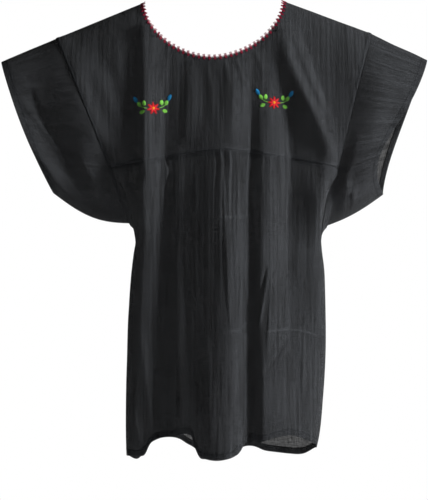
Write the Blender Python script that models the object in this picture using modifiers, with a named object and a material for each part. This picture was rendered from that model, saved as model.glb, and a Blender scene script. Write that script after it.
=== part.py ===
# Embroidered peasant blouse of thin black cotton, hanging open and hollow.
# Metres, +Z up. Its back faces -Y and its front +Y, and +X is its own right.
# The origin is on the shoulder line, midway between the two ends of the neckline.

import math
from collections import namedtuple

import bmesh
import bpy
import numpy as np
from mathutils import Vector
from mathutils.bvhtree import BVHTree

MM = 0.001

# Driving dimensions, in metres
WALL = 0.0015
SEAM_GAP = 0.0009
GUSSET_GAP = 0.0016
TRIM_GAP = 0.0008

# Corners in the plane of the shoulders: x and z
Corners = namedtuple("Corners", "neck shoulder cuff_top cuff_low underarm")
CORNERS = {
    "left": Corners((-0.112, -0.002), (-0.251, -0.059), (-0.338, -0.096), (-0.255, -0.306), (-0.133, -0.354)),
    "right": Corners((0.113, 0.001), (0.253, -0.051), (0.342, -0.093), (0.272, -0.308), (0.182, -0.358)),
}
SIDE_SIGN = {"left": -1, "right": 1}
UNDER_SLEEVE_SAG = {"left": 0.014, "right": 0.005}
# How far the back and the front half of each cuff bow in, and how low the bow lies
CUFF_BOW = {"left": (-0.005, 0.001), "right": (0.028, 0.004)}
CUFF_BOW_POWER = {"left": 1.0, "right": 2.2}
ARMHOLE_BOW = 0.005

# The yoke's lower seam meets the armhole's loop at this angle from the shoulder
SEAM_ANGLE = math.radians(114)
SEAM_CENTRE_Z = -0.240
SEAM_DROP_POWER = 1.3

# The gusset's point lies this share of the way down the side, from the yoke seam to the hem
GUSSET_SHARE = 0.31
GUSSET_TIP = 0.6

# One layer of the blouse: which way it faces, its neckline and its depth off the shoulder plane
Layer = namedtuple("Layer", "way neck_drop neck_power arm_depth cuff_depth")
LAYERS = {
    "back": Layer(-1, 0.093, 1.85, 0.050, 0.048),
    "front": Layer(1, 0.084, 1.85, 0.056, 0.055),
}
SHOULDER_ROUNDING = 0.11
# Share of a panel's width, at each side, over which its folds come up from nothing
SIDE_SHARE = 0.08
# The flat outline of the body seen from above: a rounded box at the yoke seam, an oval below it
YOKE_BULGE = (2.6, 0.85)
BODY_BULGE = 0.9
# Share of the way down a side by which a panel has left the shape of the yoke seam
SEAM_BLEND = 0.12
# Share of the way down a side by which its outline has left the armhole
UNDERARM_BLEND = 0.05
# Share of a panel's width, at each side, over which its columns crowd towards the side seam
CROWDED_SHARE = 0.3
# Share of the shoulder's rounding over which the folds come up from nothing
SHOULDER_FADE = 0.4
# Share of a sleeve's girth, at its top and underside, and of its length, over which they do so
SLEEVE_FADE = (0.7, 0.3)
SEAM_FADE_GAIN = 1.7

# How far the body stands off the shoulder plane, by height
DEPTH_Z = (-0.76, -0.55, -0.40, -0.25, -0.12, 0.02)
DEPTH = {
    "back": (0.092, 0.086, 0.084, 0.080, 0.067, 0.060),
    "front": (0.108, 0.102, 0.100, 0.094, 0.078, 0.062),
}

# Side outline of the body below the yoke seam, by height
SIDE_Z = (-0.73, -0.70, -0.63, -0.56, -0.50, -0.43, -0.405, -0.38, -0.345, -0.305, -0.266)
SIDE_X = {
    "left": (-0.138, -0.139, -0.139, -0.137, -0.135, -0.130, -0.127, -0.123, -0.130, -0.141, -0.163),
    "right": (0.160, 0.168, 0.176, 0.180, 0.180, 0.177, 0.174, 0.172, 0.175, 0.183, 0.203),
}

# Hem heights from the left side seam to the right one
HEM_X = {
    "back": (-0.140, -0.131, -0.116, -0.108, -0.100, -0.084, -0.061, -0.039, -0.033, -0.028, -0.022, -0.011,
             0.005, 0.020, 0.033, 0.041, 0.049, 0.056, 0.074, 0.092, 0.108, 0.130, 0.149, 0.170),
    "front": (-0.140, -0.122, -0.105, -0.089, -0.072, -0.054, -0.043, -0.031, -0.015, 0.002,
              0.018, 0.035, 0.051, 0.067, 0.084, 0.100, 0.125, 0.150, 0.170),
}
HEM_Z = {
    "back": (-0.724, -0.722, -0.722, -0.719, -0.703, -0.692, -0.689, -0.685, -0.689, -0.706, -0.719, -0.723,
             -0.725, -0.723, -0.719, -0.714, -0.702, -0.695, -0.697, -0.692, -0.689, -0.689, -0.697, -0.709),
    "front": (-0.724, -0.735, -0.714, -0.704, -0.701, -0.706, -0.714, -0.721, -0.735, -0.739,
              -0.737, -0.730, -0.719, -0.717, -0.724, -0.727, -0.729, -0.725, -0.709),
}

# Hanging folds, in millimetres. Each runs from its top height to its bottom height. Its place across
# and its height off the cloth are given at the top, one third down, two thirds down and the bottom.
# Left and right are the widths of its two flanks.
Fold = namedtuple("Fold", "top bottom across height left right")
FOLDS = {
    "back": {
        "left ridge": Fold(-40, -740, (-104, -104, -111, -126), (3, 11, 12, 13), 15, 20),
        "left valley": Fold(-60, -740, (-74, -74, -80, -90), (-4, -10, -10, -8), 20, 34),
        "left inner ridge": Fold(-70, -740, (-44, -54, -54, -48), (4, 4, 3, 2), 14, 12),
        "centre pleat": Fold(-70, -740, (38, 16, 27, 19), (5, 11, 14, 15), 38, 22),
        "centre valley": Fold(-60, -740, (62, 58, 58, 56), (-3, -8, -10, -10), 18, 14),
        "right ridge": Fold(-50, -740, (86, 82, 83, 86), (3, 8, 10, 10), 14, 34),
        "right valley": Fold(-50, -600, (98, 122, 136, 150), (-4, -13, -7, 0), 18, 24),
        "right side ridge": Fold(-150, -560, (168, 170, 170, 168), (0, 10, 6, 0), 20, 18),
        "right shoulder roll": Fold(-10, -310, (106, 134, 170, 204), (2, 9, 10, 3), 22, 18),
        "right sleeve hollow": Fold(-30, -240, (196, 208, 216, 222), (0, -5, -5, 0), 24, 26),
        "right sleeve ridge": Fold(-40, -290, (266, 268, 262, 252), (0, 9, 8, 2), 46, 30),
        "left shoulder roll": Fold(-40, -320, (-238, -224, -188, -156), (0, 9, 9, 2), 20, 32),
        "left body hollow": Fold(-50, -560, (-132, -130, -132, -136), (-2, -6, -5, 0), 14, 12),
        "left sleeve hollow": Fold(-110, -330, (-304, -276, -232, -186), (0, -7, -7, 0), 18, 18),
        "left cuff ridge": Fold(-130, -320, (-332, -306, -272, -234), (0, 4, 5, 0), 16, 16),
    },
    "front": {
        "left ridge": Fold(-80, -740, (-104, -98, -106, -112), (2, 9, 14, 18), 18, 14),
        "left valley": Fold(-80, -740, (-72, -68, -70, -74), (-2, -8, -12, -14), 14, 16),
        "left inner ridge": Fold(-130, -740, (-40, -36, -38, -34), (2, 6, 9, 10), 14, 12),
        "centre valley": Fold(-135, -740, (-4, -6, -8, -4), (-2, -8, -11, -12), 14, 14),
        "centre ridge": Fold(-130, -740, (26, 26, 28, 34), (2, 8, 13, 15), 14, 16),
        "right valley": Fold(-100, -740, (62, 60, 64, 72), (-2, -8, -12, -14), 14, 14),
        "right ridge": Fold(-80, -740, (98, 100, 108, 116), (2, 9, 13, 16), 18, 18),
        "right hollow": Fold(-60, -700, (142, 146, 152, 152), (-3, -7, -6, 0), 14, 12),
        "right shoulder roll": Fold(-15, -300, (124, 152, 186, 200), (0, 7, 7, 0), 20, 17),
        "left shoulder roll": Fold(-15, -300, (-122, -150, -180, -190), (0, 7, 6, 0), 17, 20),
        "left sleeve crease": Fold(-130, -330, (-310, -262, -215, -170), (2, 7, 6, 0), 20, 14),
        "right sleeve crease": Fold(-120, -330, (318, 280, 245, 205), (2, 7, 6, 0), 14, 20),
    },
}
FOLD_STATIONS = (0, 1 / 3, 2 / 3, 1)
# How much wider a fold's flanks are at its top
SOFT_TOP = 0.8

# Knife pleats laid in where each skirt panel joins its yoke, in millimetres across
PleatGroup = namedtuple("PleatGroup", "start end count height reach")
PLEATS = {
    "back": (
        PleatGroup(-101, -73, 2, 2.6, 0.13),
        PleatGroup(2, 57, 4, 3.0, 0.26),
        PleatGroup(79, 122, 3, 2.4, 0.11),
    ),
    "front": (PleatGroup(-108, -70, 3, 2.4, 0.12), PleatGroup(0, 50, 4, 2.6, 0.14), PleatGroup(80, 118, 3, 2.4, 0.12)),
}
PLEAT_CREST = 0.72

# Counts of facets, and the widest step between two columns of a skirt panel
YOKE_ROWS = 10
ARM_STEPS = 11
SEAM_STEPS = 29
ROW_CROWDING = 1.2
SIDEWAYS_POWER = 1.9
COLUMN_STEP = {"back": 0.0073, "front": 0.0095}
GUSSET_ROWS = 5
HEM_ROWS = {"back": 6, "front": 5}
GUSSET_COLUMNS = 8
SLEEVE_RINGS = 6

# Neck edging: a thread rim over the cut edge, with stitches that reach down over the cloth
TEETH = {"back": 39, "front": 46}
TOOTH_REACH = 0.0052
TOOTH_ROOT = 0.0012
RIM_RISE = 0.0018
THREAD_THICKNESS = 0.0009

# Embroidered sprigs: the flower's place on the back yoke, how the spray tilts and its petals
Sprig = namedtuple("Sprig", "x z tilt petals")
SPRIGS = {
    "left": Sprig(-0.094, -0.174, 4, 7),
    "right": Sprig(0.096, -0.165, -3, 8),
}
FLOWER_RADIUS = 0.0092
PETAL_DEPTH = 0.17
STITCH_RELIEF = 0.0009
# One arm of a spray, in millimetres out from the flower and up, drawn to the right
Leaf = namedtuple("Leaf", "name out up length width angle")
LEAVES = (
    Leaf("leaf_inner", 13.2, 7.2, 7.4, 4.4, 82),
    Leaf("leaf_outer", 20.6, 7.6, 7.6, 4.6, 52),
    Leaf("leaf_lower", 17.6, -3.6, 7.2, 4.4, -38),
    Leaf("bud", 26.0, 14.4, 10.0, 4.6, 57),
)
STEM = ((10.2, 0.4), (13.4, 1.0), (16.2, 2.4))
STEM_WIDTH = 1.3
LEAF_POINTS = 10

BLACK_COTTON = ("black_cotton", (0.012, 0.013, 0.014), 0.9)
RED_THREAD = ("red_thread", (0.68, 0.04, 0.09), 0.75)
FLOWER_RED = ("flower_red_floss", (0.75, 0.03, 0.03), 0.5)
LEAF_GREEN = ("leaf_green_floss", (0.14, 0.42, 0.11), 0.5)
BUD_BLUE = ("bud_blue_floss", (0.01, 0.12, 0.22), 0.5)


def lerp(a, b, share):
    return a + (b - a) * share


def smooth(share):
    share = np.clip(share, 0, 1)
    return share * share * (3 - 2 * share)


def curve(rows, values, at):
    """A smooth curve through a short table, read at one place or many."""
    rows, values = np.asarray(rows, float), np.asarray(values, float)
    slope = np.gradient(values, rows)
    at = np.clip(at, rows[0], rows[-1])
    i = np.clip(np.searchsorted(rows, at) - 1, 0, len(rows) - 2)
    step = rows[i + 1] - rows[i]
    t = (at - rows[i]) / step
    start = (2 * t**3 - 3 * t**2 + 1) * values[i] + (t**3 - 2 * t**2 + t) * step * slope[i]
    end = (3 * t**2 - 2 * t**3) * values[i + 1] + (t**3 - t**2) * step * slope[i + 1]
    return start + end


def points(x, y, z):
    return np.stack(np.broadcast_arrays(x, y, z), axis=-1)


def loop_point(top, low, depths, angle, bows, power=1.0):
    """A point of a flattened loop of cloth: angle 0 at its top, pi at its lowest, its back half first."""
    down = (1 - np.cos(angle)) / 2
    depth = np.where(np.sin(angle) > 0, depths[0], depths[1])
    bow = np.where(np.sin(angle) > 0, bows[0], bows[1])
    x = lerp(top[0], low[0], down) + bow * np.sin(math.pi * down**power)
    return points(x, -depth * np.sin(angle), lerp(top[1], low[1], down))


def armhole(side, angle):
    corners = CORNERS[side]
    depths = LAYERS["back"].arm_depth, LAYERS["front"].arm_depth
    bow = -SIDE_SIGN[side] * ARMHOLE_BOW
    return loop_point(corners.shoulder, corners.underarm, depths, angle, (bow, bow))


def cuff(side, angle):
    corners = CORNERS[side]
    depths = LAYERS["back"].cuff_depth, LAYERS["front"].cuff_depth
    bows = [-SIDE_SIGN[side] * bow for bow in CUFF_BOW[side]]
    return loop_point(corners.cuff_top, corners.cuff_low, depths, angle, bows, CUFF_BOW_POWER[side])


def shoulder_height(x):
    """Height of the shoulder line over x, level between the ends of the neckline."""
    left, right = CORNERS["left"], CORNERS["right"]
    rows = (left.cuff_top, left.shoulder, left.neck, right.neck, right.shoulder, right.cuff_top)
    return np.interp(x, [row[0] for row in rows], [row[1] for row in rows])


def seam_height(x):
    """Height of the yoke seam over x: an arc that drops to the armholes."""
    left, right = armhole("left", SEAM_ANGLE), armhole("right", SEAM_ANGLE)
    off = 2 * (x - left[0]) / (right[0] - left[0]) - 1
    end = np.where(off < 0, left[2], right[2])
    return lerp(SEAM_CENTRE_Z, end, np.abs(off) ** SEAM_DROP_POWER)


def relief(name, x, z):
    """How far the hanging folds lift the cloth of one layer."""
    lift = np.zeros(np.broadcast(x, z).shape)
    for fold in FOLDS[name].values():
        down = (fold.top * MM - z) / ((fold.top - fold.bottom) * MM)
        off = x - curve(FOLD_STATIONS, fold.across, down) * MM
        flank = np.where(off < 0, fold.left, fold.right) * MM * (1 + SOFT_TOP * (1 - smooth(3 * down)))
        height = curve(FOLD_STATIONS, fold.height, down) * MM
        inside = (down >= 0) & (down <= 1)
        lift += np.where(inside, height * np.exp(-((off / flank) ** 2)), 0)
    return lift


def pleat_lift(name, x, below_seam):
    """Knife pleats under the yoke seam: each climbs slowly and drops at a sharp edge."""
    lift = np.zeros(np.broadcast(x, below_seam).shape)
    for group in PLEATS[name]:
        along = (x - group.start * MM) / ((group.end - group.start) * MM) * group.count
        part = along - np.floor(along)
        climb = np.where(part < PLEAT_CREST, part / PLEAT_CREST, (1 - part) / (1 - PLEAT_CREST))
        inside = (along > 0) & (along < group.count)
        fade = 1 - smooth(below_seam / group.reach)
        lift += np.where(inside, group.height * MM * (climb - 0.5) * fade, 0)
    return lift


def skirt_columns(name):
    """Shares across a skirt's top: the foot, flank and crest of each pleat, and even steps between groups."""
    left, right = armhole("left", SEAM_ANGLE)[0], armhole("right", SEAM_ANGLE)[0]
    places = [left]

    def fill(end):
        steps = math.ceil((end - places[-1]) / COLUMN_STEP[name])
        places.extend(np.linspace(places[-1], end, steps + 1)[1:])

    for group in PLEATS[name]:
        fill(group.start * MM)
        pitch = (group.end - group.start) * MM / group.count
        for pleat in range(group.count):
            foot = group.start * MM + pleat * pitch
            places.extend((foot + PLEAT_CREST / 2 * pitch, foot + PLEAT_CREST * pitch, foot + pitch))
    fill(right)
    return (np.array(places) - left) / (right - left)


def facing(grid, outward):
    """Unit normals of a grid of points, turned to the side that outward gives."""
    normal = np.cross(np.gradient(grid, axis=1), np.gradient(grid, axis=0))
    normal /= np.linalg.norm(normal, axis=-1, keepdims=True)
    return normal * np.sign((normal * outward).sum(axis=-1).mean())


def seam_fade(angle):
    """Share of the folds kept on the armhole's seam: none at the shoulder and below the yoke seam."""
    return np.clip(SEAM_FADE_GAIN * np.sin(math.pi * np.clip(angle / SEAM_ANGLE, 0, 1)), 0, 1)


def drawn_back(grid, ends=SEAM_GAP / 2, sides=SEAM_GAP / 2):
    """The grid with its end rows and its side columns moved in towards the ones beside them."""
    out = grid.copy()
    for view, distance in ((out, ends), (out.swapaxes(0, 1), sides)):
        for edge, beside in ((0, 1), (-1, -2)):
            step = view[beside] - view[edge]
            view[edge] += step * distance / np.linalg.norm(step, axis=-1, keepdims=True)
    return out


def neckline(layer, count):
    """Evenly spaced points of one layer's scoop, from its left end to its right end."""
    left, right = CORNERS["left"].neck, CORNERS["right"].neck
    across = -np.cos(np.linspace(0, math.pi, 400))
    drop = layer.neck_drop * (1 - np.abs(across) ** layer.neck_power) ** (1 / layer.neck_power)
    share = (across + 1) / 2
    x, z = lerp(left[0], right[0], share), lerp(left[1], right[1], share) - drop
    length = np.concatenate([[0], np.cumsum(np.hypot(np.diff(x), np.diff(z)))])
    at = np.linspace(0, length[-1], count + 1)
    return np.interp(at, length, x), np.interp(at, length, z)


def armhole_angle(side, z):
    """The angle round the armhole, from the shoulder, at which it passes a height."""
    corners = CORNERS[side]
    down = np.clip((corners.shoulder[1] - z) / (corners.shoulder[1] - corners.underarm[1]), 0, 1)
    return np.arccos(1 - 2 * down)


def beside_armhole(side, x, z):
    """The armhole's x at a height, and the angle round it as far below the shoulder line as the point is."""
    arm_x = armhole(side, armhole_angle(side, z))[..., 0]
    return arm_x, armhole_angle(side, z - shoulder_height(x) + shoulder_height(arm_x))


def standing_off(name, x, z):
    """How far the cloth of one layer stands off the shoulder plane above the yoke seam."""
    layer = LAYERS[name]
    left, left_angle = beside_armhole("left", x, z)
    right, right_angle = beside_armhole("right", x, z)
    across = np.clip((x - left) / (right - left), 0, 1)
    angle = np.where(across < 0.5, left_angle, right_angle)
    bulge = (1 - np.abs(2 * across - 1) ** YOKE_BULGE[0]) ** YOKE_BULGE[1]
    under = np.clip((shoulder_height(x) - z) / SHOULDER_ROUNDING, 0, 1)
    middle = curve(DEPTH_Z, DEPTH[name], z) * np.sqrt(1 - (1 - under) ** 2)
    fade = lerp(seam_fade(angle), smooth(under / SHOULDER_FADE), smooth(np.minimum(across, 1 - across) / SIDE_SHARE))
    return lerp(layer.arm_depth * np.sin(angle), middle, bulge) + relief(name, x, z) * fade


def yoke_grid(name):
    """The yoke of one layer: rows round the neckline, out to the shoulders, armholes and yoke seam."""
    angle = np.linspace(0, SEAM_ANGLE, ARM_STEPS + 1)
    left, right = armhole("left", angle), armhole("right", angle[::-1])
    seam_x = np.linspace(left[-1, 0], right[0, 0], SEAM_STEPS + 1)[1:-1]
    outer_x = np.concatenate([left[:, 0], seam_x, right[:, 0]])
    outer_z = np.concatenate([left[:, 2], seam_height(seam_x), right[:, 2]])
    top_x, top_z = neckline(LAYERS[name], len(outer_x) - 1)
    away = np.linspace(0, 1, YOKE_ROWS + 1)[:, None] ** ROW_CROWDING
    sideways = 1 - (1 - away) ** SIDEWAYS_POWER
    column = np.arange(len(outer_x))
    upright = smooth(np.minimum(column, column[::-1]) / ARM_STEPS)
    x = lerp(top_x, outer_x, sideways)
    z = lerp(top_z, outer_z, lerp(sideways, away, upright))
    y = standing_off(name, x, z)
    y[:, [0, -1]] = 0
    return points(x, LAYERS[name].way * y, z)


def gusset_shares():
    """Shares of the way down a side for the gusset's rows."""
    return GUSSET_SHARE * np.linspace(0, 1, GUSSET_ROWS + 1)


def skirt_shares(name):
    """Shares of the way down a skirt's side, with a row at the gusset's point."""
    return np.concatenate([gusset_shares(), np.linspace(GUSSET_SHARE, 1, HEM_ROWS[name] + 1)[1:]])


def side_edge(name, side, share):
    """Side border of a skirt panel: along the gusset, then down the side seam."""
    top = armhole(side, SEAM_ANGLE)
    hem = HEM_Z["back"][0 if side == "left" else -1]
    z = lerp(top[2], hem, share)
    x = curve(SIDE_Z, SIDE_X[side], z)
    x = lerp(top[0], x, smooth(share / UNDERARM_BLEND))
    open_share = np.clip(1 - share / GUSSET_SHARE, 0, 1)
    depth = LAYERS[name].arm_depth * math.sin(SEAM_ANGLE) * np.sin(open_share * math.pi / 2)
    return points(x, LAYERS[name].way * depth, z)


def skirt_grid(name):
    """The gathered panel of one layer, from the yoke seam to the hem."""
    layer = LAYERS[name]
    share = skirt_shares(name)[:, None]
    left, right = side_edge(name, "left", share[:, 0]), side_edge(name, "right", share[:, 0])
    left_x, right_x = left[:, None, 0], right[:, None, 0]
    top_share = skirt_columns(name)[None, :]
    top_x = lerp(left_x[:1], right_x[:1], top_share)
    upright = np.clip((top_x - left_x) / (right_x - left_x), 0, 1)
    turned = np.arccos(1 - 2 * upright) / math.pi
    middle = smooth(np.minimum(top_share, 1 - top_share) / CROWDED_SHARE)
    across = lerp(top_share, turned, middle)
    round_share = smooth(share / GUSSET_SHARE)
    below_seam = smooth(share / SEAM_BLEND)
    x = lerp(left_x, right_x, lerp(top_share, (1 - np.cos(math.pi * across)) / 2, below_seam))
    top_z = seam_height(top_x)
    top_z[0, [0, -1]] = left[0, 2], right[0, 2]
    z = lerp(top_z, curve(HEM_X[name], HEM_Z[name], x[-1:]), share)
    z[:, 0], z[:, -1] = left[:, 2], right[:, 2]
    flat_bulge = (1 - np.abs(2 * top_share - 1) ** YOKE_BULGE[0]) ** YOKE_BULGE[1]
    bulge = lerp(flat_bulge, np.sin(math.pi * across) ** BODY_BULGE, round_share)
    side_depth = np.abs(left[:, None, 1])
    depth = lerp(side_depth, curve(DEPTH_Z, DEPTH[name], z), bulge)
    fade = smooth(np.minimum(top_share, 1 - top_share) / SIDE_SHARE)
    depth = lerp(standing_off(name, top_x, top_z), depth + relief(name, x, z) * fade, below_seam)
    depth = depth + pleat_lift(name, top_x, top_z - z)
    depth[:, 0], depth[:, -1] = side_depth[:, 0], side_depth[:, 0]
    return points(x, layer.way * depth, z)


def gusset_grid(side):
    """The underarm gusset: from the lower armhole down to its point on the side seam."""
    angle = np.linspace(SEAM_ANGLE, 2 * math.pi - SEAM_ANGLE, GUSSET_COLUMNS + 1)
    shares = gusset_shares()
    borders = []
    for name, layer in LAYERS.items():
        border = side_edge(name, side, shares)
        border[-1] = lerp(border[-2], border[-1], GUSSET_TIP)
        border[:, 1] -= layer.way * GUSSET_GAP
        border[:, 2] += GUSSET_GAP * shares / GUSSET_SHARE
        borders.append(border)
    back, front = borders
    tip = (back[-1] + front[-1]) / 2
    plain = lerp(armhole(side, angle)[None], tip, shares[:, None, None] / GUSSET_SHARE)
    across = np.linspace(0, 1, GUSSET_COLUMNS + 1)[None, :, None]
    towards_back = (back - plain[:, 0])[:, None] * (1 - across) ** 2
    towards_front = (front - plain[:, -1])[:, None] * across**2
    return plain + towards_back + towards_front


def sleeve_angles():
    """Angles round the armhole from the underside, through the front, the top and the back, to the underside."""
    upper = np.linspace(0, SEAM_ANGLE, ARM_STEPS + 1)
    lower = np.linspace(SEAM_ANGLE, math.pi, GUSSET_COLUMNS // 2 + 1)[1:]
    half = np.concatenate([upper, lower])
    return np.concatenate([2 * math.pi - half[::-1], 2 * math.pi + half[1:]])


def sleeve_grid(side):
    """A sleeve, cut as a strip and closed by a seam underneath."""
    angle = sleeve_angles()[None, :]
    along = np.linspace(0, 1, SLEEVE_RINGS + 1)[:, None]
    start, end = armhole(side, angle), cuff(side, angle)
    grid = lerp(start, end, along[..., None])
    low = ((1 - np.cos(angle)) / 2) ** 3
    grid[..., 2] -= UNDER_SLEEVE_SAG[side] * np.sin(math.pi * along) * low
    is_back = np.sin(angle) > 0
    x, z = grid[..., 0], grid[..., 2]
    lift = np.where(is_back, -relief("back", x, z), relief("front", x, z))
    from_top = np.abs(angle - 2 * math.pi)
    inner_fade = smooth(np.abs(np.sin(angle)) / SLEEVE_FADE[0])
    fade = lerp(seam_fade(from_top), inner_fade, smooth(along / SLEEVE_FADE[1]))
    grid[..., 1] += lift * fade
    return grid


def material(name, colour, roughness):
    made = bpy.data.materials.get(name) or bpy.data.materials.new(name)
    made.use_nodes = True
    shader = made.node_tree.nodes["Principled BSDF"]
    shader.inputs["Base Color"].default_value = (*colour, 1)
    shader.inputs["Roughness"].default_value = roughness
    made.diffuse_color = (*colour, 1)
    return made


def placed(name, mesh, finish, collection):
    obj = bpy.data.objects.new(name, mesh)
    obj.data.materials.append(material(*finish))
    collection.objects.link(obj)
    return obj


def cloth(name, grid, collection):
    """A panel of cloth: a flat grid moved to its place and given its wall."""
    rows, columns = grid.shape[0] - 1, grid.shape[1] - 1
    sheet = bmesh.new()
    bmesh.ops.create_grid(sheet, x_segments=columns, y_segments=rows, size=1)
    for vertex in sheet.verts:
        column = round((vertex.co.x + 1) / 2 * columns)
        row = round((1 - vertex.co.y) / 2 * rows)
        vertex.co = Vector(grid[row, column])
    mesh = bpy.data.meshes.new(name)
    sheet.to_mesh(mesh)
    sheet.free()
    mesh.shade_smooth()
    obj = placed(name, mesh, BLACK_COTTON, collection)
    wall = obj.modifiers.new("wall", "SOLIDIFY")
    wall.thickness = WALL
    wall.offset = 0
    return obj


def below_edge(grid, normals, column, reach):
    """The point of a panel, and its normal, at a distance below its top edge."""
    left = np.minimum(column.astype(int), grid.shape[1] - 2)
    part = (column - left)[:, None]
    lines = lerp(grid[:, left], grid[:, left + 1], part)
    ways = lerp(normals[:, left], normals[:, left + 1], part)
    steps = np.linalg.norm(np.diff(lines, axis=0), axis=-1)
    depth = np.concatenate([np.zeros((1, len(column))), np.cumsum(steps, axis=0)])
    places = np.empty((len(column), 3))
    outs = np.empty((len(column), 3))
    for i in range(len(column)):
        for axis in range(3):
            places[i, axis] = np.interp(reach[i], depth[:, i], lines[:, i, axis])
            outs[i, axis] = np.interp(reach[i], depth[:, i], ways[:, i, axis])
    return places, outs / np.linalg.norm(outs, axis=-1, keepdims=True)


def edging_rings(name, grid):
    """Sections of the edging along one layer's neckline: over the cloth, round its cut edge and behind it."""
    normals = facing(grid, (0, LAYERS[name].way, 0))
    edge = grid[0]
    length = np.concatenate([[0], np.cumsum(np.linalg.norm(np.diff(edge, axis=0), axis=-1))])
    stations = 2 * TEETH[name]
    part = (np.arange(stations) + 0.5) / stations
    reach = np.where(np.arange(stations) % 2, TOOTH_ROOT, TOOTH_REACH)
    on_shoulder = 0 if name == "back" else stations
    part = np.insert(part, on_shoulder, 0 if name == "back" else 1)
    reach = np.insert(reach, on_shoulder, TOOTH_ROOT)
    column = np.interp(part * length[-1], length, np.arange(len(edge)))
    normals[:, [0, -1], 1] = 0
    top, top_out = below_edge(grid, normals, column, 0 * reach)
    half, half_out = below_edge(grid, normals, column, reach / 2)
    tip, tip_out = below_edge(grid, normals, column, reach)
    up = top - half
    up /= np.linalg.norm(up, axis=-1, keepdims=True)
    outside = WALL / 2 + TRIM_GAP
    rim = outside + THREAD_THICKNESS
    return np.stack(
        [
            tip + tip_out * outside,
            tip + tip_out * rim,
            half + half_out * rim,
            top + top_out * rim + up * RIM_RISE,
            top - top_out * WALL / 2 + up * RIM_RISE,
            top - top_out * WALL / 2 + up * TRIM_GAP,
            top + top_out * outside + up * TRIM_GAP,
            half + half_out * outside,
        ],
        axis=1,
    )


def neck_edging(grids, collection):
    """The stitched edging: a rim over the raw edge, with a stitch at every second station."""
    rings = np.concatenate([edging_rings("back", grids["back"]), edging_rings("front", grids["front"])[::-1]])
    band = bmesh.new()
    made = [[band.verts.new(point) for point in ring] for ring in rings]
    for here, there in zip(made, made[1:] + made[:1]):
        for i in range(len(here)):
            j = (i + 1) % len(here)
            band.faces.new((here[i], there[i], there[j], here[j]))
    bmesh.ops.recalc_face_normals(band, faces=band.faces)
    mesh = bpy.data.meshes.new("neck_edging")
    band.to_mesh(mesh)
    band.free()
    return placed("neck_edging", mesh, RED_THREAD, collection)


def surface_of(obj):
    """The evaluated mesh of a panel, ready to be searched."""
    return BVHTree.FromObject(obj, bpy.context.evaluated_depsgraph_get())


def on_cloth(surface, x, z):
    """Where a line from behind first meets the cloth at x and z."""
    place, normal, _, _ = surface.ray_cast(Vector((x, -1, z)), Vector((0, 1, 0)))
    return place, normal


def stitched_patch(name, outline, surface, finish, collection):
    """A satin-stitched shape: its outline laid on the cloth and moved out, with a domed top."""
    centre = np.mean(outline, axis=0)
    inner = centre + (outline - centre) * 0.55
    patch = bmesh.new()

    def ring(shape, rise):
        made = []
        for x, z in shape:
            place, normal = on_cloth(surface, x, z)
            made.append(patch.verts.new(place + normal * (TRIM_GAP + rise)))
        return made

    under, sole = ring(outline, 0), ring(inner, 0)
    edge, top = ring(outline, STITCH_RELIEF * 0.5), ring(inner, STITCH_RELIEF)
    foot, peak = ring([centre], 0)[0], ring([centre], STITCH_RELIEF)[0]
    for i in range(len(outline)):
        j = (i + 1) % len(outline)
        patch.faces.new((under[i], under[j], edge[j], edge[i]))
        patch.faces.new((edge[i], edge[j], top[j], top[i]))
        patch.faces.new((top[i], top[j], peak))
        patch.faces.new((under[j], under[i], sole[i], sole[j]))
        patch.faces.new((sole[j], sole[i], foot))
    bmesh.ops.recalc_face_normals(patch, faces=patch.faces)
    mesh = bpy.data.meshes.new(name)
    patch.to_mesh(mesh)
    patch.free()
    return placed(name, mesh, finish, collection)


def flower_outline(petals):
    angle = np.linspace(0, 2 * math.pi, petals * 4 + 1)[:-1]
    radius = FLOWER_RADIUS * (1 - PETAL_DEPTH + PETAL_DEPTH * np.cos(petals * angle))
    return np.stack([radius * np.sin(angle), radius * np.cos(angle)], axis=1)


def leaf_outline(leaf, hand):
    """A pointed oval, drawn out and up from the flower on one hand."""
    turn = np.linspace(0, 2 * math.pi, LEAF_POINTS + 1)[:-1]
    along = leaf.length / 2 * np.cos(turn)
    side = leaf.width / 2 * np.sign(np.sin(turn)) * np.abs(np.sin(turn)) ** 1.2
    lean = math.radians(leaf.angle)
    out = leaf.out + along * math.cos(lean) - side * math.sin(lean)
    up = leaf.up + along * math.sin(lean) + side * math.cos(lean)
    return np.stack([hand * out, up], axis=1) * MM


def stem_outline(hand):
    line = np.array(STEM)
    half = np.array([[0, STEM_WIDTH / 2]])
    outline = np.concatenate([line + half, (line - half)[::-1]])
    return outline * (hand * MM, MM)


def sprig(side, surface, collection):
    """One embroidered spray: a flower with a stem, three leaves and a bud on each hand."""
    spray = SPRIGS[side]
    tilt = math.radians(spray.tilt)
    turn = np.array([[math.cos(tilt), math.sin(tilt)], [-math.sin(tilt), math.cos(tilt)]])

    def patch(name, outline, finish):
        laid = outline @ turn + (spray.x, spray.z)
        stitched_patch(f"sprig_{side}_{name}", laid, surface, finish, collection)

    patch("flower", flower_outline(spray.petals), FLOWER_RED)
    for hand, word in ((-1, "a"), (1, "b")):
        patch(f"stem_{word}", stem_outline(hand), LEAF_GREEN)
        for leaf in LEAVES:
            finish = BUD_BLUE if leaf.name == "bud" else LEAF_GREEN
            patch(f"{leaf.name}_{word}", leaf_outline(leaf, hand), finish)


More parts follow.
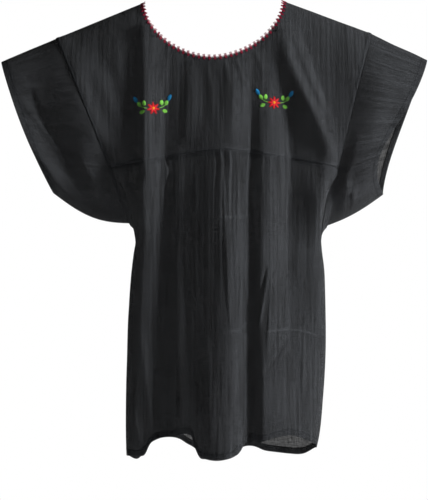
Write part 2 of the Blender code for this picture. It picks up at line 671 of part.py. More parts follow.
def main():
    for obj in list(bpy.data.objects):
        bpy.data.objects.remove(obj)
    blouse = bpy.data.collections.new("peasant_blouse")
    bpy.context.scene.collection.children.link(blouse)
    yokes = {}
    for name in LAYERS:
        yokes[name] = drawn_back(yoke_grid(name))
        cloth(f"{name}_yoke", yokes[name], blouse)
        cloth(f"{name}_skirt", drawn_back(skirt_grid(name)), blouse)
    for side in CORNERS:
        cloth(f"sleeve_{side}", drawn_back(sleeve_grid(side)), blouse)
        cloth(f"gusset_{side}", drawn_back(gusset_grid(side), ends=GUSSET_GAP * 1.1, sides=0), blouse)
    neck_edging(yokes, blouse)
    bpy.context.view_layer.update()
    surface = surface_of(bpy.data.objects["back_yoke"])
    for side in SPRIGS:
        sprig(side, surface, blouse)


main()
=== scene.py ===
"""Dresses the solids of an embroidered peasant blouse in thin black cotton, seams, hems and embroidery.

The blouse hangs open and hollow. Its back faces -Y and its front +Y, and +X is its own right.
"""

import math
from collections import namedtuple

import bmesh
import bpy
import numpy as np
from bpy.props import FloatProperty, FloatVectorProperty, PointerProperty
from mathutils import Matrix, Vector
from mathutils.bvhtree import BVHTree


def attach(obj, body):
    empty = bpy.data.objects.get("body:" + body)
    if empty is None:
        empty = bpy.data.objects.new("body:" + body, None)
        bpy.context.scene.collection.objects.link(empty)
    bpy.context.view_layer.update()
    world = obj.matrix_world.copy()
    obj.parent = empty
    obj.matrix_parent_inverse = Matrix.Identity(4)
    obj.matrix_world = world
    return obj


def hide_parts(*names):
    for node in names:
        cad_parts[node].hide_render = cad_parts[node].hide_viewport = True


bl_info = {
    "name": "Peasant Blouse",
    "version": (1, 0, 0),
    "blender": (4, 5, 0),
    "location": "3D View > Sidebar > Blouse",
    "description": "Makes the cloth, seams, edging and embroidery of a peasant blouse over its solids",
    "category": "Object",
}

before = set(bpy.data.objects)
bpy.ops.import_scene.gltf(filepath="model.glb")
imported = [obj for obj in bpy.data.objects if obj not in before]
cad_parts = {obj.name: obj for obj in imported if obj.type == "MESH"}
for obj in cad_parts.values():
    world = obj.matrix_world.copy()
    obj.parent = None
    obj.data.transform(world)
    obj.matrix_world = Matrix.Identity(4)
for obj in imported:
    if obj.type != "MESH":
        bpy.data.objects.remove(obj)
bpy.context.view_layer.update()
MM = 0.001

# Corners in the plane of the shoulders: x and z
Corners = namedtuple("Corners", "neck shoulder cuff_top cuff_low underarm")
CORNERS = {
    "left": Corners((-0.112, -0.002), (-0.251, -0.059), (-0.338, -0.096), (-0.255, -0.306), (-0.133, -0.354)),
    "right": Corners((0.113, 0.001), (0.253, -0.051), (0.342, -0.093), (0.272, -0.308), (0.182, -0.358)),
}
SIDE_SIGN = {"left": -1, "right": 1}
# How far each sleeve's underside sags, and how much the sag keeps to the underside
UNDER_SLEEVE_SAG = {"left": 0.014, "right": 0.005}
SAG_POWER = 3
# How far the back and the front half of each cuff bow in, and how low the bow lies. The left cuff's front
# is let out 7 mm further than its solid, so that its two halves end together.
CUFF_BOW = {"left": (-0.005, -0.006), "right": (0.028, 0.004)}
CUFF_BOW_POWER = {"left": 1.0, "right": 2.2}
ARMHOLE_BOW = 0.005

# The yoke's lower seam meets the armhole's loop at this angle from the shoulder
SEAM_ANGLE = math.radians(114)
SEAM_CENTRE_Z = -0.240
SEAM_DROP_POWER = 1.3

# The gusset's point lies this share of the way down the side, from the yoke seam to the hem
GUSSET_SHARE = 0.31

# One layer of the blouse: which way it faces, its neckline and its depth off the shoulder plane
Layer = namedtuple("Layer", "way neck_drop neck_power arm_depth cuff_depth")
LAYERS = {
    "back": Layer(-1, 0.093, 1.85, 0.050, 0.048),
    "front": Layer(1, 0.084, 1.85, 0.056, 0.055),
}
SHOULDER_ROUNDING = 0.11
# Share of a panel's width, at each side, over which its folds come up from nothing
SIDE_SHARE = 0.08
# The flat outline of the body seen from above: a rounded box at the yoke seam, an oval below it
YOKE_BULGE = (2.6, 0.85)
BODY_BULGE = 0.9
# Share of the way down a side by which a panel has left the shape of the yoke seam
SEAM_BLEND = 0.12
# Share of the way down a side by which its outline has left the armhole
UNDERARM_BLEND = 0.05
# Share of a panel's width, at each side, over which its columns crowd towards the side seam
CROWDED_SHARE = 0.3
# Share of the shoulder's rounding over which the folds come up from nothing
SHOULDER_FADE = 0.4
# Share of a sleeve's depth, at its top and underside, and of its length, over which the folds do so
SLEEVE_FADE = (0.7, 0.3)
# How soon the folds come up along the armhole's seam, from nothing at its two ends
SEAM_FADE_GAIN = 1.7

# How far the body stands off the shoulder plane, by height
DEPTH_Z = (-0.76, -0.55, -0.40, -0.25, -0.12, 0.02)
DEPTH = {
    "back": (0.092, 0.086, 0.084, 0.080, 0.067, 0.060),
    "front": (0.108, 0.102, 0.100, 0.094, 0.078, 0.062),
}

# Side outline of the body below the yoke seam, by height
SIDE_Z = (-0.73, -0.70, -0.63, -0.56, -0.50, -0.43, -0.405, -0.38, -0.345, -0.305, -0.266)
SIDE_X = {
    "left": (-0.138, -0.139, -0.139, -0.137, -0.135, -0.130, -0.127, -0.123, -0.130, -0.141, -0.163),
    "right": (0.160, 0.168, 0.176, 0.180, 0.180, 0.177, 0.174, 0.172, 0.175, 0.183, 0.203),
}

# Hem heights from the left side seam to the right one
HEM_X = {
    "back": (-0.140, -0.131, -0.116, -0.108, -0.100, -0.084, -0.061, -0.039, -0.033, -0.028, -0.022, -0.011,
             0.005, 0.020, 0.033, 0.041, 0.049, 0.056, 0.074, 0.092, 0.108, 0.130, 0.149, 0.170),
    "front": (-0.140, -0.122, -0.105, -0.089, -0.072, -0.054, -0.043, -0.031, -0.015, 0.002,
              0.018, 0.035, 0.051, 0.067, 0.084, 0.100, 0.125, 0.150, 0.170),
}
HEM_Z = {
    "back": (-0.724, -0.722, -0.722, -0.719, -0.703, -0.692, -0.689, -0.685, -0.689, -0.706, -0.719, -0.723,
             -0.725, -0.723, -0.719, -0.714, -0.702, -0.695, -0.697, -0.692, -0.689, -0.689, -0.697, -0.709),
    "front": (-0.724, -0.735, -0.714, -0.704, -0.701, -0.706, -0.714, -0.721, -0.735, -0.739,
              -0.737, -0.730, -0.719, -0.717, -0.724, -0.727, -0.729, -0.725, -0.709),
}

# Hanging folds, in millimetres. Each runs from its top height to its bottom height. Its place across
# and its height off the cloth are given at the top, one third down, two thirds down and the bottom.
# Left and right are the widths of its two flanks, and edge is 2 for a round fold or 1 for a sharp one.
Fold = namedtuple("Fold", "top bottom across height left right edge", defaults=(2,))
FOLDS = {
    "back": {
        "left ridge": Fold(-40, -500, (-106, -107, -110, -116), (7, 14, 14, 0), 14, 18, 1.6),
        "lower left ridge": Fold(-330, -740, (-110, -116, -128, -142), (0, 12, 14, 12), 30, 20, 1.6),
        "left valley": Fold(-60, -740, (-76, -76, -82, -100), (-5, -15, -14, -4), 20, 44, 1.2),
        "left inner ridge": Fold(-230, -740, (-57, -57, -54, -50), (1, 4, 3, 2), 11, 9),
        "centre pleat": Fold(-70, -740, (44, 24, 27, 22), (6, 14, 17, 16), 44, 20),
        "centre valley": Fold(-60, -740, (62, 60, 58, 56), (-4, -11, -12, -12), 18, 12, 1),
        "right ridge": Fold(-50, -740, (84, 80, 79, 82), (1, 6, 10, 10), 12, 34),
        "right valley": Fold(-50, -580, (98, 122, 116, 122), (-4, -17, -20, 0), 18, 28, 1.4),
        "right side ridge": Fold(-230, -640, (176, 171, 180, 182), (0, 14, 11, 3), 20, 16),
        "right shoulder roll": Fold(-10, -310, (94, 126, 172, 216), (3, 12, 14, 4), 20, 9),
        "right sleeve hollow": Fold(-20, -220, (132, 154, 176, 200), (-1, -9, -9, 0), 10, 70),
        "right sleeve ridge": Fold(-40, -350, (258, 260, 240, 222), (0, 18, 17, 6), 46, 34),
        "left shoulder roll": Fold(-40, -320, (-232, -216, -184, -156), (2, 15, 14, 3), 44, 22),
        "left body hollow": Fold(-50, -420, (-132, -130, -132, -136), (-2, -6, -4, 0), 12, 10),
        "left sleeve hollow": Fold(-110, -330, (-300, -272, -230, -186), (0, -9, -10, 0), 16, 14, 1.3),
        "left cuff ridge": Fold(-150, -330, (-330, -300, -262, -224), (0, 7, 12, 2), 14, 14),
    },
    "front": {
        "left ridge": Fold(-80, -740, (-104, -98, -106, -112), (2, 9, 14, 18), 18, 14),
        "left valley": Fold(-80, -740, (-72, -68, -70, -74), (-2, -8, -12, -14), 14, 16),
        "left inner ridge": Fold(-130, -740, (-40, -36, -38, -34), (2, 6, 9, 10), 14, 12),
        "centre valley": Fold(-135, -740, (-4, -6, -8, -4), (-2, -8, -11, -12), 14, 14),
        "centre ridge": Fold(-130, -740, (26, 26, 28, 34), (2, 8, 13, 15), 14, 16),
        "right valley": Fold(-100, -740, (62, 60, 64, 72), (-2, -8, -12, -14), 14, 14),
        "right ridge": Fold(-80, -740, (98, 100, 108, 116), (2, 9, 13, 16), 18, 18),
        "right hollow": Fold(-60, -700, (142, 146, 152, 152), (-3, -7, -6, 0), 14, 12),
        "right shoulder roll": Fold(-15, -300, (124, 152, 186, 200), (0, 7, 7, 0), 20, 17),
        "left shoulder roll": Fold(-15, -300, (-122, -150, -180, -190), (0, 7, 6, 0), 17, 20),
        "left sleeve crease": Fold(-130, -330, (-310, -262, -215, -170), (2, 7, 6, 0), 20, 14),
        "right sleeve crease": Fold(-120, -330, (318, 280, 245, 205), (2, 7, 6, 0), 14, 20),
    },
}
FOLD_STATIONS = (0, 1 / 3, 2 / 3, 1)
# How much wider a fold's flanks are at its top
SOFT_TOP = 0.4

# Creases laid over the folds, in millimetres: the points that one passes, its width and its
# height off the cloth, below nothing for a trough
Crease = namedtuple("Crease", "path width height")
# The power of a crease's taper towards its ends: the lower, the blunter
CREASE_TAPER = 0.6
CREASES = {
    "back": (
        # Left sleeve
        Crease(((-304, -158), (-245, -237), (-198, -303)), 5, 3.4),
        Crease(((-218, -238), (-190, -288), (-164, -334)), 5, 3.0),
        Crease(((-196, -236), (-172, -282), (-150, -322)), 7, -2.4),
        Crease(((-288, -180), (-240, -177), (-196, -176)), 4, 1.6),
        Crease(((-312, -120), (-280, -150), (-262, -196)), 9, 2.0),
        Crease(((-262, -262), (-236, -282), (-214, -310)), 6, 2.0),
        # Low on the right of the skirt
        Crease(((121, -528), (104, -558), (80, -590)), 2.2, -2.8),
        # The split pleat right of the centre
        Crease(((88, -418), (80, -470), (68, -528)), 2.6, 3.0),
        Crease(((84, -420), (74, -474), (62, -534)), 2.6, -3.0),
        Crease(((90, -416), (90, -480), (84, -560)), 2.6, 2.4),
        Crease(((143, -538), (142, -585), (139, -638)), 3, 2.2),
        Crease(((148, -606), (149, -630), (149, -656)), 2.4, 1.6),
        # Yoke
        Crease(((-38, -96), (-38, -165), (-42, -232)), 10, 3.4),
        Crease(((-20, -100), (-14, -140), (-12, -200)), 8, -2.0),
        Crease(((28, -106), (30, -150), (26, -226)), 8, 2.6),
        Crease(((4, -100), (8, -140), (8, -190)), 6, -1.8),
        Crease(((18, -96), (22, -116), (24, -140)), 3.4, 1.5),
        Crease(((34, -94), (42, -112), (46, -136)), 3.4, 1.5),
        Crease(((-4, -98), (-3, -112), (-1, -134)), 3.4, -1.2),
        Crease(((60, -78), (72, -96), (80, -124)), 5, 1.6),
        Crease(((-70, -72), (-76, -100), (-80, -140)), 5, 1.6),
        Crease(((112, -34), (150, -110), (186, -200), (200, -254)), 6, 2.0),
        Crease(((-206, -92), (-176, -140), (-150, -200)), 14, 3.0),
        Crease(((-184, -80), (-158, -126), (-138, -190)), 12, -2.6),
        # Right sleeve
        Crease(((292, -84), (306, -150), (300, -210)), 16, 3.4),
        Crease(((226, -288), (224, -312), (220, -338)), 3.4, 2.0),
        Crease(((224, -276), (240, -270), (256, -262)), 7, 2.0),
        # Centre and left of the skirt
        Crease(((14, -258), (19, -360), (26, -516)), 2.6, 2.4),
        Crease(((26, -262), (30, -380), (34, -520)), 2.6, -1.8),
        Crease(((38, -262), (40, -330), (44, -420)), 3.4, 1.4),
        Crease(((-92, -268), (-92, -330), (-96, -420)), 4, 1.4),
        Crease(((-28, -262), (-30, -380), (-24, -500)), 6, 1.4),
        Crease(((-112, -520), (-106, -600), (-96, -690)), 7, 2.6),
        Crease(((-132, -628), (-124, -660), (-116, -700)), 4, 2.4),
        Crease(((-10, -520), (-6, -600), (-2, -700)), 6, 2.0),
        Crease(((-60, -560), (-56, -630), (-50, -684)), 7, -1.8),
        Crease(((110, -600), (114, -640), (112, -680)), 6, 1.6),
    ),
    "front": (
        Crease(((-296, -156), (-248, -228), (-200, -296)), 7, 2.2),
        Crease(((-214, -236), (-186, -288), (-160, -330)), 6, 2.0),
        Crease(((300, -150), (262, -222), (222, -300)), 7, 2.2),
        Crease(((226, -240), (208, -286), (196, -330)), 7, 2.0),
        Crease(((-36, -160), (-38, -200), (-37, -238)), 10, 2.0),
        Crease(((26, -158), (28, -200), (27, -238)), 10, 2.2),
        Crease(((-60, -300), (-66, -380), (-58, -470)), 5, 1.6),
        Crease(((60, -360), (52, -430), (56, -520)), 5, 1.6),
        Crease(((-128, -440), (-122, -500), (-126, -560)), 4, 1.4),
    ),
}

# Lines pressed across a skirt panel where it was stored folded: the share of the way down at which each
# lies, and in millimetres its two ends across and its height off the cloth
PressedLine = namedtuple("PressedLine", "share start end height")
PRESSED_LINES = {
    "back": (
        PressedLine(0.218, 4, 58, 1.9),
        PressedLine(0.262, -112, -76, 1.9),
        PressedLine(0.590, 10, 58, 2.0),
        PressedLine(0.620, 78, 166, 1.9),
    ),
    "front": (
        PressedLine(0.218, -46, 12, 1.5),
        PressedLine(0.590, -110, -48, 1.5),
        PressedLine(0.620, 80, 150, 1.5),
    ),
}
PRESSED_WIDTH = 0.0020
PRESSED_END = 0.006
# How much lighter such a line is painted, to each millimetre of its height: a painted highlight along its
# crest
PRESSED_LINE_HIGHLIGHT = 1.2
# Length of a skirt panel, and how far apart its rows lie beside such a line, in widths of the line
PANEL_LENGTH = 0.47
PRESSED_ROWS = 0.7

# Knife pleats laid in where each skirt panel joins its yoke: in millimetres where a group starts and ends
# across and how high its pleats stand, and in metres how far down they reach
PleatGroup = namedtuple("PleatGroup", "start end count height reach")
PLEATS = {
    "back": (
        PleatGroup(-101, -73, 2, 2.6, 0.13),
        PleatGroup(2, 57, 4, 3.0, 0.26),
        PleatGroup(79, 122, 3, 2.4, 0.11),
    ),
    "front": (
        PleatGroup(-108, -70, 3, 2.4, 0.12),
        PleatGroup(0, 50, 4, 2.6, 0.14),
        PleatGroup(80, 118, 3, 2.4, 0.12),
    ),
}
# The share of a pleat's width at which it is highest, and how far below the seam the pleats come up
PLEAT_CREST = 0.72
PLEAT_START = 0.006

# How finely each panel is drawn
ARM_STEPS = 64
SEAM_STEPS = 176
YOKE_ROWS = 70
SKIRT_COLUMNS = 290
HEM_ROWS = 84
GUSSET_ROWS = 44
GUSSET_COLUMNS = 40
SLEEVE_RINGS = 54
# Points from which the neckline's length is measured
NECK_POINTS = 4000
# How a yoke's rows crowd towards the neckline, its columns towards the neckline's two ends, and how much
# sooner its rows spread sideways than down
ROW_CROWDING = 1.2
NECK_CROWDING = 0.6
SIDEWAYS_POWER = 1.9

# Seams and hems: how far the cloth is drawn in where it is sewn, and how a turned edge lies inside it
SEAM_DIP = 0.0003
SEAM_DIP_WIDTH = 0.0016
TURN_GAP = 0.0009
TURN_ROWS = 5
# How far a turned edge lifts the cloth over it, and where that ends: its start and length, as shares of the
# edge's width
PRESSED_RISE = 0.0006
PRESSED_FADE = (0.85, 0.3)
# How pale the gussets are worn
GUSSET_WEAR = 0.5

# Machine stitches: how far they lie inside a hem's turned edge, inside a yoke's sewn edge and off the cloth
HEM_STITCH_INSET = 0.0012
SEAM_STITCH_DISTANCE = 0.0016
STITCH_LIFT = 0.0001
MACHINE_THREAD_RADIUS = 0.00018
# The share of its pitch by which a stitch reaches to each side
STITCH_REACH = 0.44
# Rows kept beside an edge for what is sewn there
KEPT_ROWS = 20

# Neck edging: how far below the cloth's edge its cord lies. The front's is lower, so that the back hides it.
EDGING_DROP = {"back": -0.0006, "front": 0.0020}
# Distance over which the way down the cloth is read, the row whose normal the edging stands on, and the
# radius of its threads as a share of a stitch's width
EDGING_SPAN = 0.006
EDGING_ROW = 2
EDGING_THREAD_SHARE = 0.65
# Its cord: the length of one turn, the distance between the points drawn, and as shares of the cord's radius
# how far a strand lies from the middle and how thick it is
CORD_TURN = 0.0024
CORD_STEP = 0.0005
STRAND_PLACE = 0.55
STRAND_RADIUS = 0.62
# A fan's threads: their places across, and how much they draw in and shorten towards the fan's sides
FAN_PLACES = (-1, -0.5, 0, 0.5, 1)
FAN_GATHER = 0.7
FAN_SHORTENING = 0.12

# Gauze crinkle: how high it stands, how wide each streak is and how long
Crinkle = namedtuple("Crinkle", "height width length")
CRINKLE = {
    "yoke": (Crinkle(0.00018, 0.0036, 0.060), Crinkle(0.0004, 0.013, 0.090), Crinkle(0.0010, 0.034, 0.060)),
    "skirt": (Crinkle(0.00024, 0.0034, 0.090), Crinkle(0.0004, 0.012, 0.140), Crinkle(0.0010, 0.034, 0.090)),
    "sleeve": (Crinkle(0.00014, 0.0044, 0.030), Crinkle(0.0005, 0.014, 0.045), Crinkle(0.0010, 0.034, 0.040)),
}
# Rows and columns at a panel's border over which the crinkle comes up from nothing
CRINKLE_MARGIN = 5
# The crinkle's first seed on each kind of panel, and the step to the next panel of that kind
SEEDS = {"yoke": 10, "skirt": 30, "sleeve": 50, "gusset": 70}
SEED_STEP = 5

# Embroidered sprigs: the flower's place on the back yoke, how the spray tilts and its petals
Sprig = namedtuple("Sprig", "x z tilt petals")
SPRIGS = {
    "left": Sprig(-0.094, -0.174, 4, 7),
    "right": Sprig(0.096, -0.165, -3, 8),
}
FLOWER_RADIUS = 0.0102
PETAL_DEPTH = 0.24
# One arm of a spray, in millimetres out from the flower and up, drawn to the right
Leaf = namedtuple("Leaf", "name out up length width angle")
LEAVES = (
    Leaf("leaf_inner", 13.6, 8.2, 8.6, 5.6, 80),
    Leaf("leaf_outer", 21.0, 7.4, 8.8, 5.8, 50),
    Leaf("leaf_lower", 17.6, -5.0, 8.6, 5.6, -34),
    Leaf("bud", 26.4, 15.2, 11.4, 5.6, 57),
)
STEM = ((9.4, 0.2), (13.4, 1.0), (17.0, 2.8), (21.0, 5.6), (24.0, 9.6))
STEM_SPREAD = 0.25
STEM_RISE = 0.35
# Satin stitches, in millimetres: the distance between two, the points drawn along each, how high their ends
# lie, how far their middles stand above that, and how far they slant on a leaf
STITCH_PITCH = 0.42
STITCH_POINTS = 5
STITCH_BASE = 0.25
LEAF_DOME = 0.5
LEAF_SLANT = 0.35
# A leaf's stitched share of its length, and how pointed it is
LEAF_SPAN = 0.94
LEAF_POINT = 1.15
STITCHES_A_PETAL = 9
# The share of a petal's length that the flower's middle covers
PETAL_START = 0.18
PETAL_DOME = 0.7
# The knot in the middle: its turns and points, its radius, the hole in it, and its lowest and highest rise
KNOT_TURNS = 3
KNOT_POINTS = 40
KNOT_RADIUS = 1.7
KNOT_HOLE = 0.3
KNOT_RISE = (0.7, 1.6)

# A petal stitch's shade: its middle value, how far it follows the petal's roundness, and the step between
# two neighbours; how blunt its dome is, and how much lower it lies between two petals. Following the
# roundness
# is painted shade: stitches between two petals are darker, those on a petal's crest lighter
PETAL_SHADE = (0.35, 0.35, 0.12)
PETAL_BLUNTNESS = 0.7
PETAL_GROOVE = 0.3
# Shades of the knot and the stems
KNOT_SHADE = 0.5
STEM_SHADE = 0.4
STEM_POINTS = 12

# Height of the line round which the sleeves' cloth faces outwards
SLEEVE_MIDDLE = -0.2

# The camera stands level with the middle of the blouse, behind it
CAMERA_PLACE = (0.0016, -4.0, -0.3968)
CAMERA_LENS = 180

# Soft round lights, turned to the middle of the blouse: the name of each one's power, its place, size and
# colour
Lamp = namedtuple("Lamp", "power place size colour")
LAMPS = {
    "key_light": Lamp("key_power", (3.0, -1.35, 0.8), 0.8, (0.96, 0.98, 1)),
    "fill_light": Lamp("fill_power", (-2.4, -1.6, 0.4), 1.1, (1, 0.98, 0.95)),
    "front_light": Lamp("front_power", (0.2, -2.6, 1.3), 1.4, (1, 1, 1)),
}
LAMP_TARGET = (0, 0, -0.35)
FLOOR_RADIUS = 2.6

# Settings of the nodes that work out numbers and vectors
ADD = {"operation": "ADD"}
MULTIPLY = {"operation": "MULTIPLY"}
MULTIPLY_ADD = {"operation": "MULTIPLY_ADD"}
# Setting of the nodes that step along a curve by a length
LENGTH = {"mode": "LENGTH"}

# What later pieces are worked from: the edges of the finished panels and the back yoke
MADE = {}


def lerp(a, b, share):
    return a + (b - a) * share


def smooth(share):
    share = np.clip(share, 0, 1)
    return share * share * (3 - 2 * share)


def curve(rows, values, at):
    """A smooth curve through a short table, read at one place or many."""
    rows, values = np.asarray(rows, float), np.asarray(values, float)
    slope = np.gradient(values, rows)
    at = np.clip(at, rows[0], rows[-1])
    i = np.clip(np.searchsorted(rows, at) - 1, 0, len(rows) - 2)
    step = rows[i + 1] - rows[i]
    t = (at - rows[i]) / step
    start = (2 * t**3 - 3 * t**2 + 1) * values[i] + (t**3 - 2 * t**2 + t) * step * slope[i]
    end = (3 * t**2 - 2 * t**3) * values[i + 1] + (t**3 - t**2) * step * slope[i + 1]
    return start + end


def points(x, y, z):
    return np.stack(np.broadcast_arrays(x, y, z), axis=-1)


def loop_point(top, low, depths, angle, bows, power=1.0):
    """A point of a flattened loop of cloth: angle 0 at its top, pi at its lowest, its back half first."""
    down = (1 - np.cos(angle)) / 2
    depth = np.where(np.sin(angle) > 0, depths[0], depths[1])
    bow = np.where(np.sin(angle) > 0, bows[0], bows[1])
    x = lerp(top[0], low[0], down) + bow * np.sin(math.pi * down**power)
    return points(x, -depth * np.sin(angle), lerp(top[1], low[1], down))


def armhole(side, angle):
    corners = CORNERS[side]
    depths = LAYERS["back"].arm_depth, LAYERS["front"].arm_depth
    bow = -SIDE_SIGN[side] * ARMHOLE_BOW
    return loop_point(corners.shoulder, corners.underarm, depths, angle, (bow, bow))


def cuff(side, angle):
    corners = CORNERS[side]
    depths = LAYERS["back"].cuff_depth, LAYERS["front"].cuff_depth
    bows = [-SIDE_SIGN[side] * bow for bow in CUFF_BOW[side]]
    return loop_point(corners.cuff_top, corners.cuff_low, depths, angle, bows, CUFF_BOW_POWER[side])


def shoulder_height(x):
    """Height of the shoulder line over x, level between the ends of the neckline."""
    left, right = CORNERS["left"], CORNERS["right"]
    rows = (left.cuff_top, left.shoulder, left.neck, right.neck, right.shoulder, right.cuff_top)
    return np.interp(x, [row[0] for row in rows], [row[1] for row in rows])


def seam_height(x):
    """Height of the yoke seam over x: an arc that drops to the armholes."""
    left, right = armhole("left", SEAM_ANGLE), armhole("right", SEAM_ANGLE)
    off = 2 * (x - left[0]) / (right[0] - left[0]) - 1
    end = np.where(off < 0, left[2], right[2])
    return lerp(SEAM_CENTRE_Z, end, np.abs(off) ** SEAM_DROP_POWER)


def crease_lift(crease, x, z):
    """One crease's lift, nothing at its two ends."""
    path = np.array(crease.path) * MM
    steps = np.diff(path, axis=0)
    lengths = np.hypot(steps[:, 0], steps[:, 1])
    nearest = np.full(x.shape, np.inf)
    along = np.zeros(x.shape)
    passed = 0
    for start, step, length in zip(path, steps, lengths):
        t = np.clip(((x - start[0]) * step[0] + (z - start[1]) * step[1]) / length**2, 0, 1)
        distance = np.hypot(x - start[0] - t * step[0], z - start[1] - t * step[1])
        closer = distance < nearest
        along = np.where(closer, (passed + t * length) / lengths.sum(), along)
        nearest = np.minimum(nearest, distance)
        passed += length
    taper = np.sin(math.pi * along) ** CREASE_TAPER
    return crease.height * MM * taper * np.exp(-((nearest / (crease.width * MM)) ** 2))


def relief(name, x, z):
    """How far the hanging folds and the creases lift the cloth of one layer."""
    x, z = np.broadcast_arrays(x, z)
    lift = np.zeros(x.shape)
    for fold in FOLDS[name].values():
        down = (fold.top * MM - z) / ((fold.top - fold.bottom) * MM)
        off = x - curve(FOLD_STATIONS, fold.across, down) * MM
        flank = np.where(off < 0, fold.left, fold.right) * MM * (1 + SOFT_TOP * (1 - smooth(3 * down)))
        height = curve(FOLD_STATIONS, fold.height, down) * MM
        inside = (down >= 0) & (down <= 1)
        lift += np.where(inside, height * np.exp(-(np.abs(off / flank) ** fold.edge)), 0)
    for crease in CREASES[name]:
        lift += crease_lift(crease, x, z)
    return lift


def pleat_lift(name, x, below_seam):
    """Knife pleats under the yoke seam: each climbs slowly and drops at a sharp edge."""
    lift = np.zeros(np.broadcast(x, below_seam).shape)
    for group in PLEATS[name]:
        along = (x - group.start * MM) / ((group.end - group.start) * MM) * group.count
        part = along - np.floor(along)
        climb = np.where(part < PLEAT_CREST, part / PLEAT_CREST, (1 - part) / (1 - PLEAT_CREST))
        inside = (along > 0) & (along < group.count)
        fade = (1 - smooth(below_seam / group.reach)) * smooth(below_seam / PLEAT_START)
        lift += np.where(inside, group.height * MM * (climb - 0.5) * fade, 0)
    return lift


def facing(grid, outward):
    """Unit normals of a grid of points, turned to the side that outward gives."""
    normal = np.cross(np.gradient(grid, axis=1), np.gradient(grid, axis=0))
    normal /= np.maximum(np.linalg.norm(normal, axis=-1, keepdims=True), 1e-12)
    return normal * np.sign((normal * outward).sum(axis=-1).mean())


def seam_fade(angle):
    """Share of the folds kept on the armhole's seam: none at the shoulder and from the yoke seam down."""
    return np.clip(SEAM_FADE_GAIN * np.sin(math.pi * np.clip(angle / SEAM_ANGLE, 0, 1)), 0, 1)


def neckline(layer, count):
    """Points of one layer's scoop from its left end to its right end, closer together towards the ends."""
    left, right = CORNERS["left"].neck, CORNERS["right"].neck
    across = -np.cos(np.linspace(0, math.pi, NECK_POINTS))
    drop = layer.neck_drop * (1 - np.abs(across) ** layer.neck_power) ** (1 / layer.neck_power)
    share = (across + 1) / 2
    x, z = lerp(left[0], right[0], share), lerp(left[1], right[1], share) - drop
    length = np.concatenate([[0], np.cumsum(np.hypot(np.diff(x), np.diff(z)))])
    at = np.linspace(0, 1, count + 1)
    at = at - np.sin(2 * math.pi * at) / (2 * math.pi) * NECK_CROWDING
    return np.interp(at * length[-1], length, x), np.interp(at * length[-1], length, z)


def armhole_angle(side, z):
    """The angle round the armhole, from the shoulder, at which it passes a height."""
    corners = CORNERS[side]
    down = np.clip((corners.shoulder[1] - z) / (corners.shoulder[1] - corners.underarm[1]), 0, 1)
    return np.arccos(1 - 2 * down)


def beside_armhole(side, x, z):
    """The armhole's x at a height, and the angle round it as far below the shoulder line as the point is."""
    arm_x = armhole(side, armhole_angle(side, z))[..., 0]
    return arm_x, armhole_angle(side, z - shoulder_height(x) + shoulder_height(arm_x))


def standing_off(name, x, z):
    """How far the cloth of one layer stands off the shoulder plane above the yoke seam."""
    layer = LAYERS[name]
    left, left_angle = beside_armhole("left", x, z)
    right, right_angle = beside_armhole("right", x, z)
    across = np.clip((x - left) / (right - left), 0, 1)
    angle = np.where(across < 0.5, left_angle, right_angle)
    bulge = (1 - np.abs(2 * across - 1) ** YOKE_BULGE[0]) ** YOKE_BULGE[1]
    under = np.clip((shoulder_height(x) - z) / SHOULDER_ROUNDING, 0, 1)
    middle = curve(DEPTH_Z, DEPTH[name], z) * np.sqrt(1 - (1 - under) ** 2)
    inner = smooth(np.minimum(across, 1 - across) / SIDE_SHARE)
    fade = lerp(seam_fade(angle), smooth(under / SHOULDER_FADE), inner)
    return lerp(layer.arm_depth * np.sin(angle), middle, bulge) + relief(name, x, z) * fade


def yoke_grid(name):
    """The yoke of one layer: rows round the neckline, out to the shoulders, armholes and yoke seam."""
    angle = np.linspace(0, SEAM_ANGLE, ARM_STEPS + 1)
    left, right = armhole("left", angle), armhole("right", angle[::-1])
    seam_x = np.linspace(left[-1, 0], right[0, 0], SEAM_STEPS + 1)[1:-1]
    outer_x = np.concatenate([left[:, 0], seam_x, right[:, 0]])
    outer_z = np.concatenate([left[:, 2], seam_height(seam_x), right[:, 2]])
    top_x, top_z = neckline(LAYERS[name], len(outer_x) - 1)
    away = np.linspace(0, 1, YOKE_ROWS + 1)[:, None] ** ROW_CROWDING
    sideways = 1 - (1 - away) ** SIDEWAYS_POWER
    column = np.arange(len(outer_x))
    upright = smooth(np.minimum(column, column[::-1]) / ARM_STEPS)
    x = lerp(top_x, outer_x, sideways)
    z = lerp(top_z, outer_z, lerp(sideways, away, upright))
    y = standing_off(name, x, z)
    y[:, [0, -1]] = 0
    return points(x, LAYERS[name].way * y, z)


def gusset_shares():
    """Shares of the way down a side for the gusset's rows."""
    return GUSSET_SHARE * np.linspace(0, 1, GUSSET_ROWS + 1)


def skirt_shares():
    """Shares of the way down a skirt's side: a row at the gusset's point, and more at the pressed lines."""
    even = np.concatenate([gusset_shares(), np.linspace(GUSSET_SHARE, 1, HEM_ROWS + 1)[1:]])
    lines = np.array(sorted({line.share for line in PRESSED_LINES["back"]}))[:, None]
    beside = (lines + np.linspace(-2, 2, 5) * PRESSED_WIDTH / PANEL_LENGTH * PRESSED_ROWS).ravel()
    return np.sort(np.concatenate([even, beside]))


def pressed_lift(name, x, share):
    """The lines that storing the blouse folded has pressed across one skirt panel."""
    lift = 0
    for line in PRESSED_LINES[name]:
        off = (share - line.share) * PANEL_LENGTH / PRESSED_WIDTH
        ends = smooth((x - line.start * MM) / PRESSED_END) * smooth((line.end * MM - x) / PRESSED_END)
        lift = lift + line.height * MM * ends * np.exp(-(off**2))
    return lift


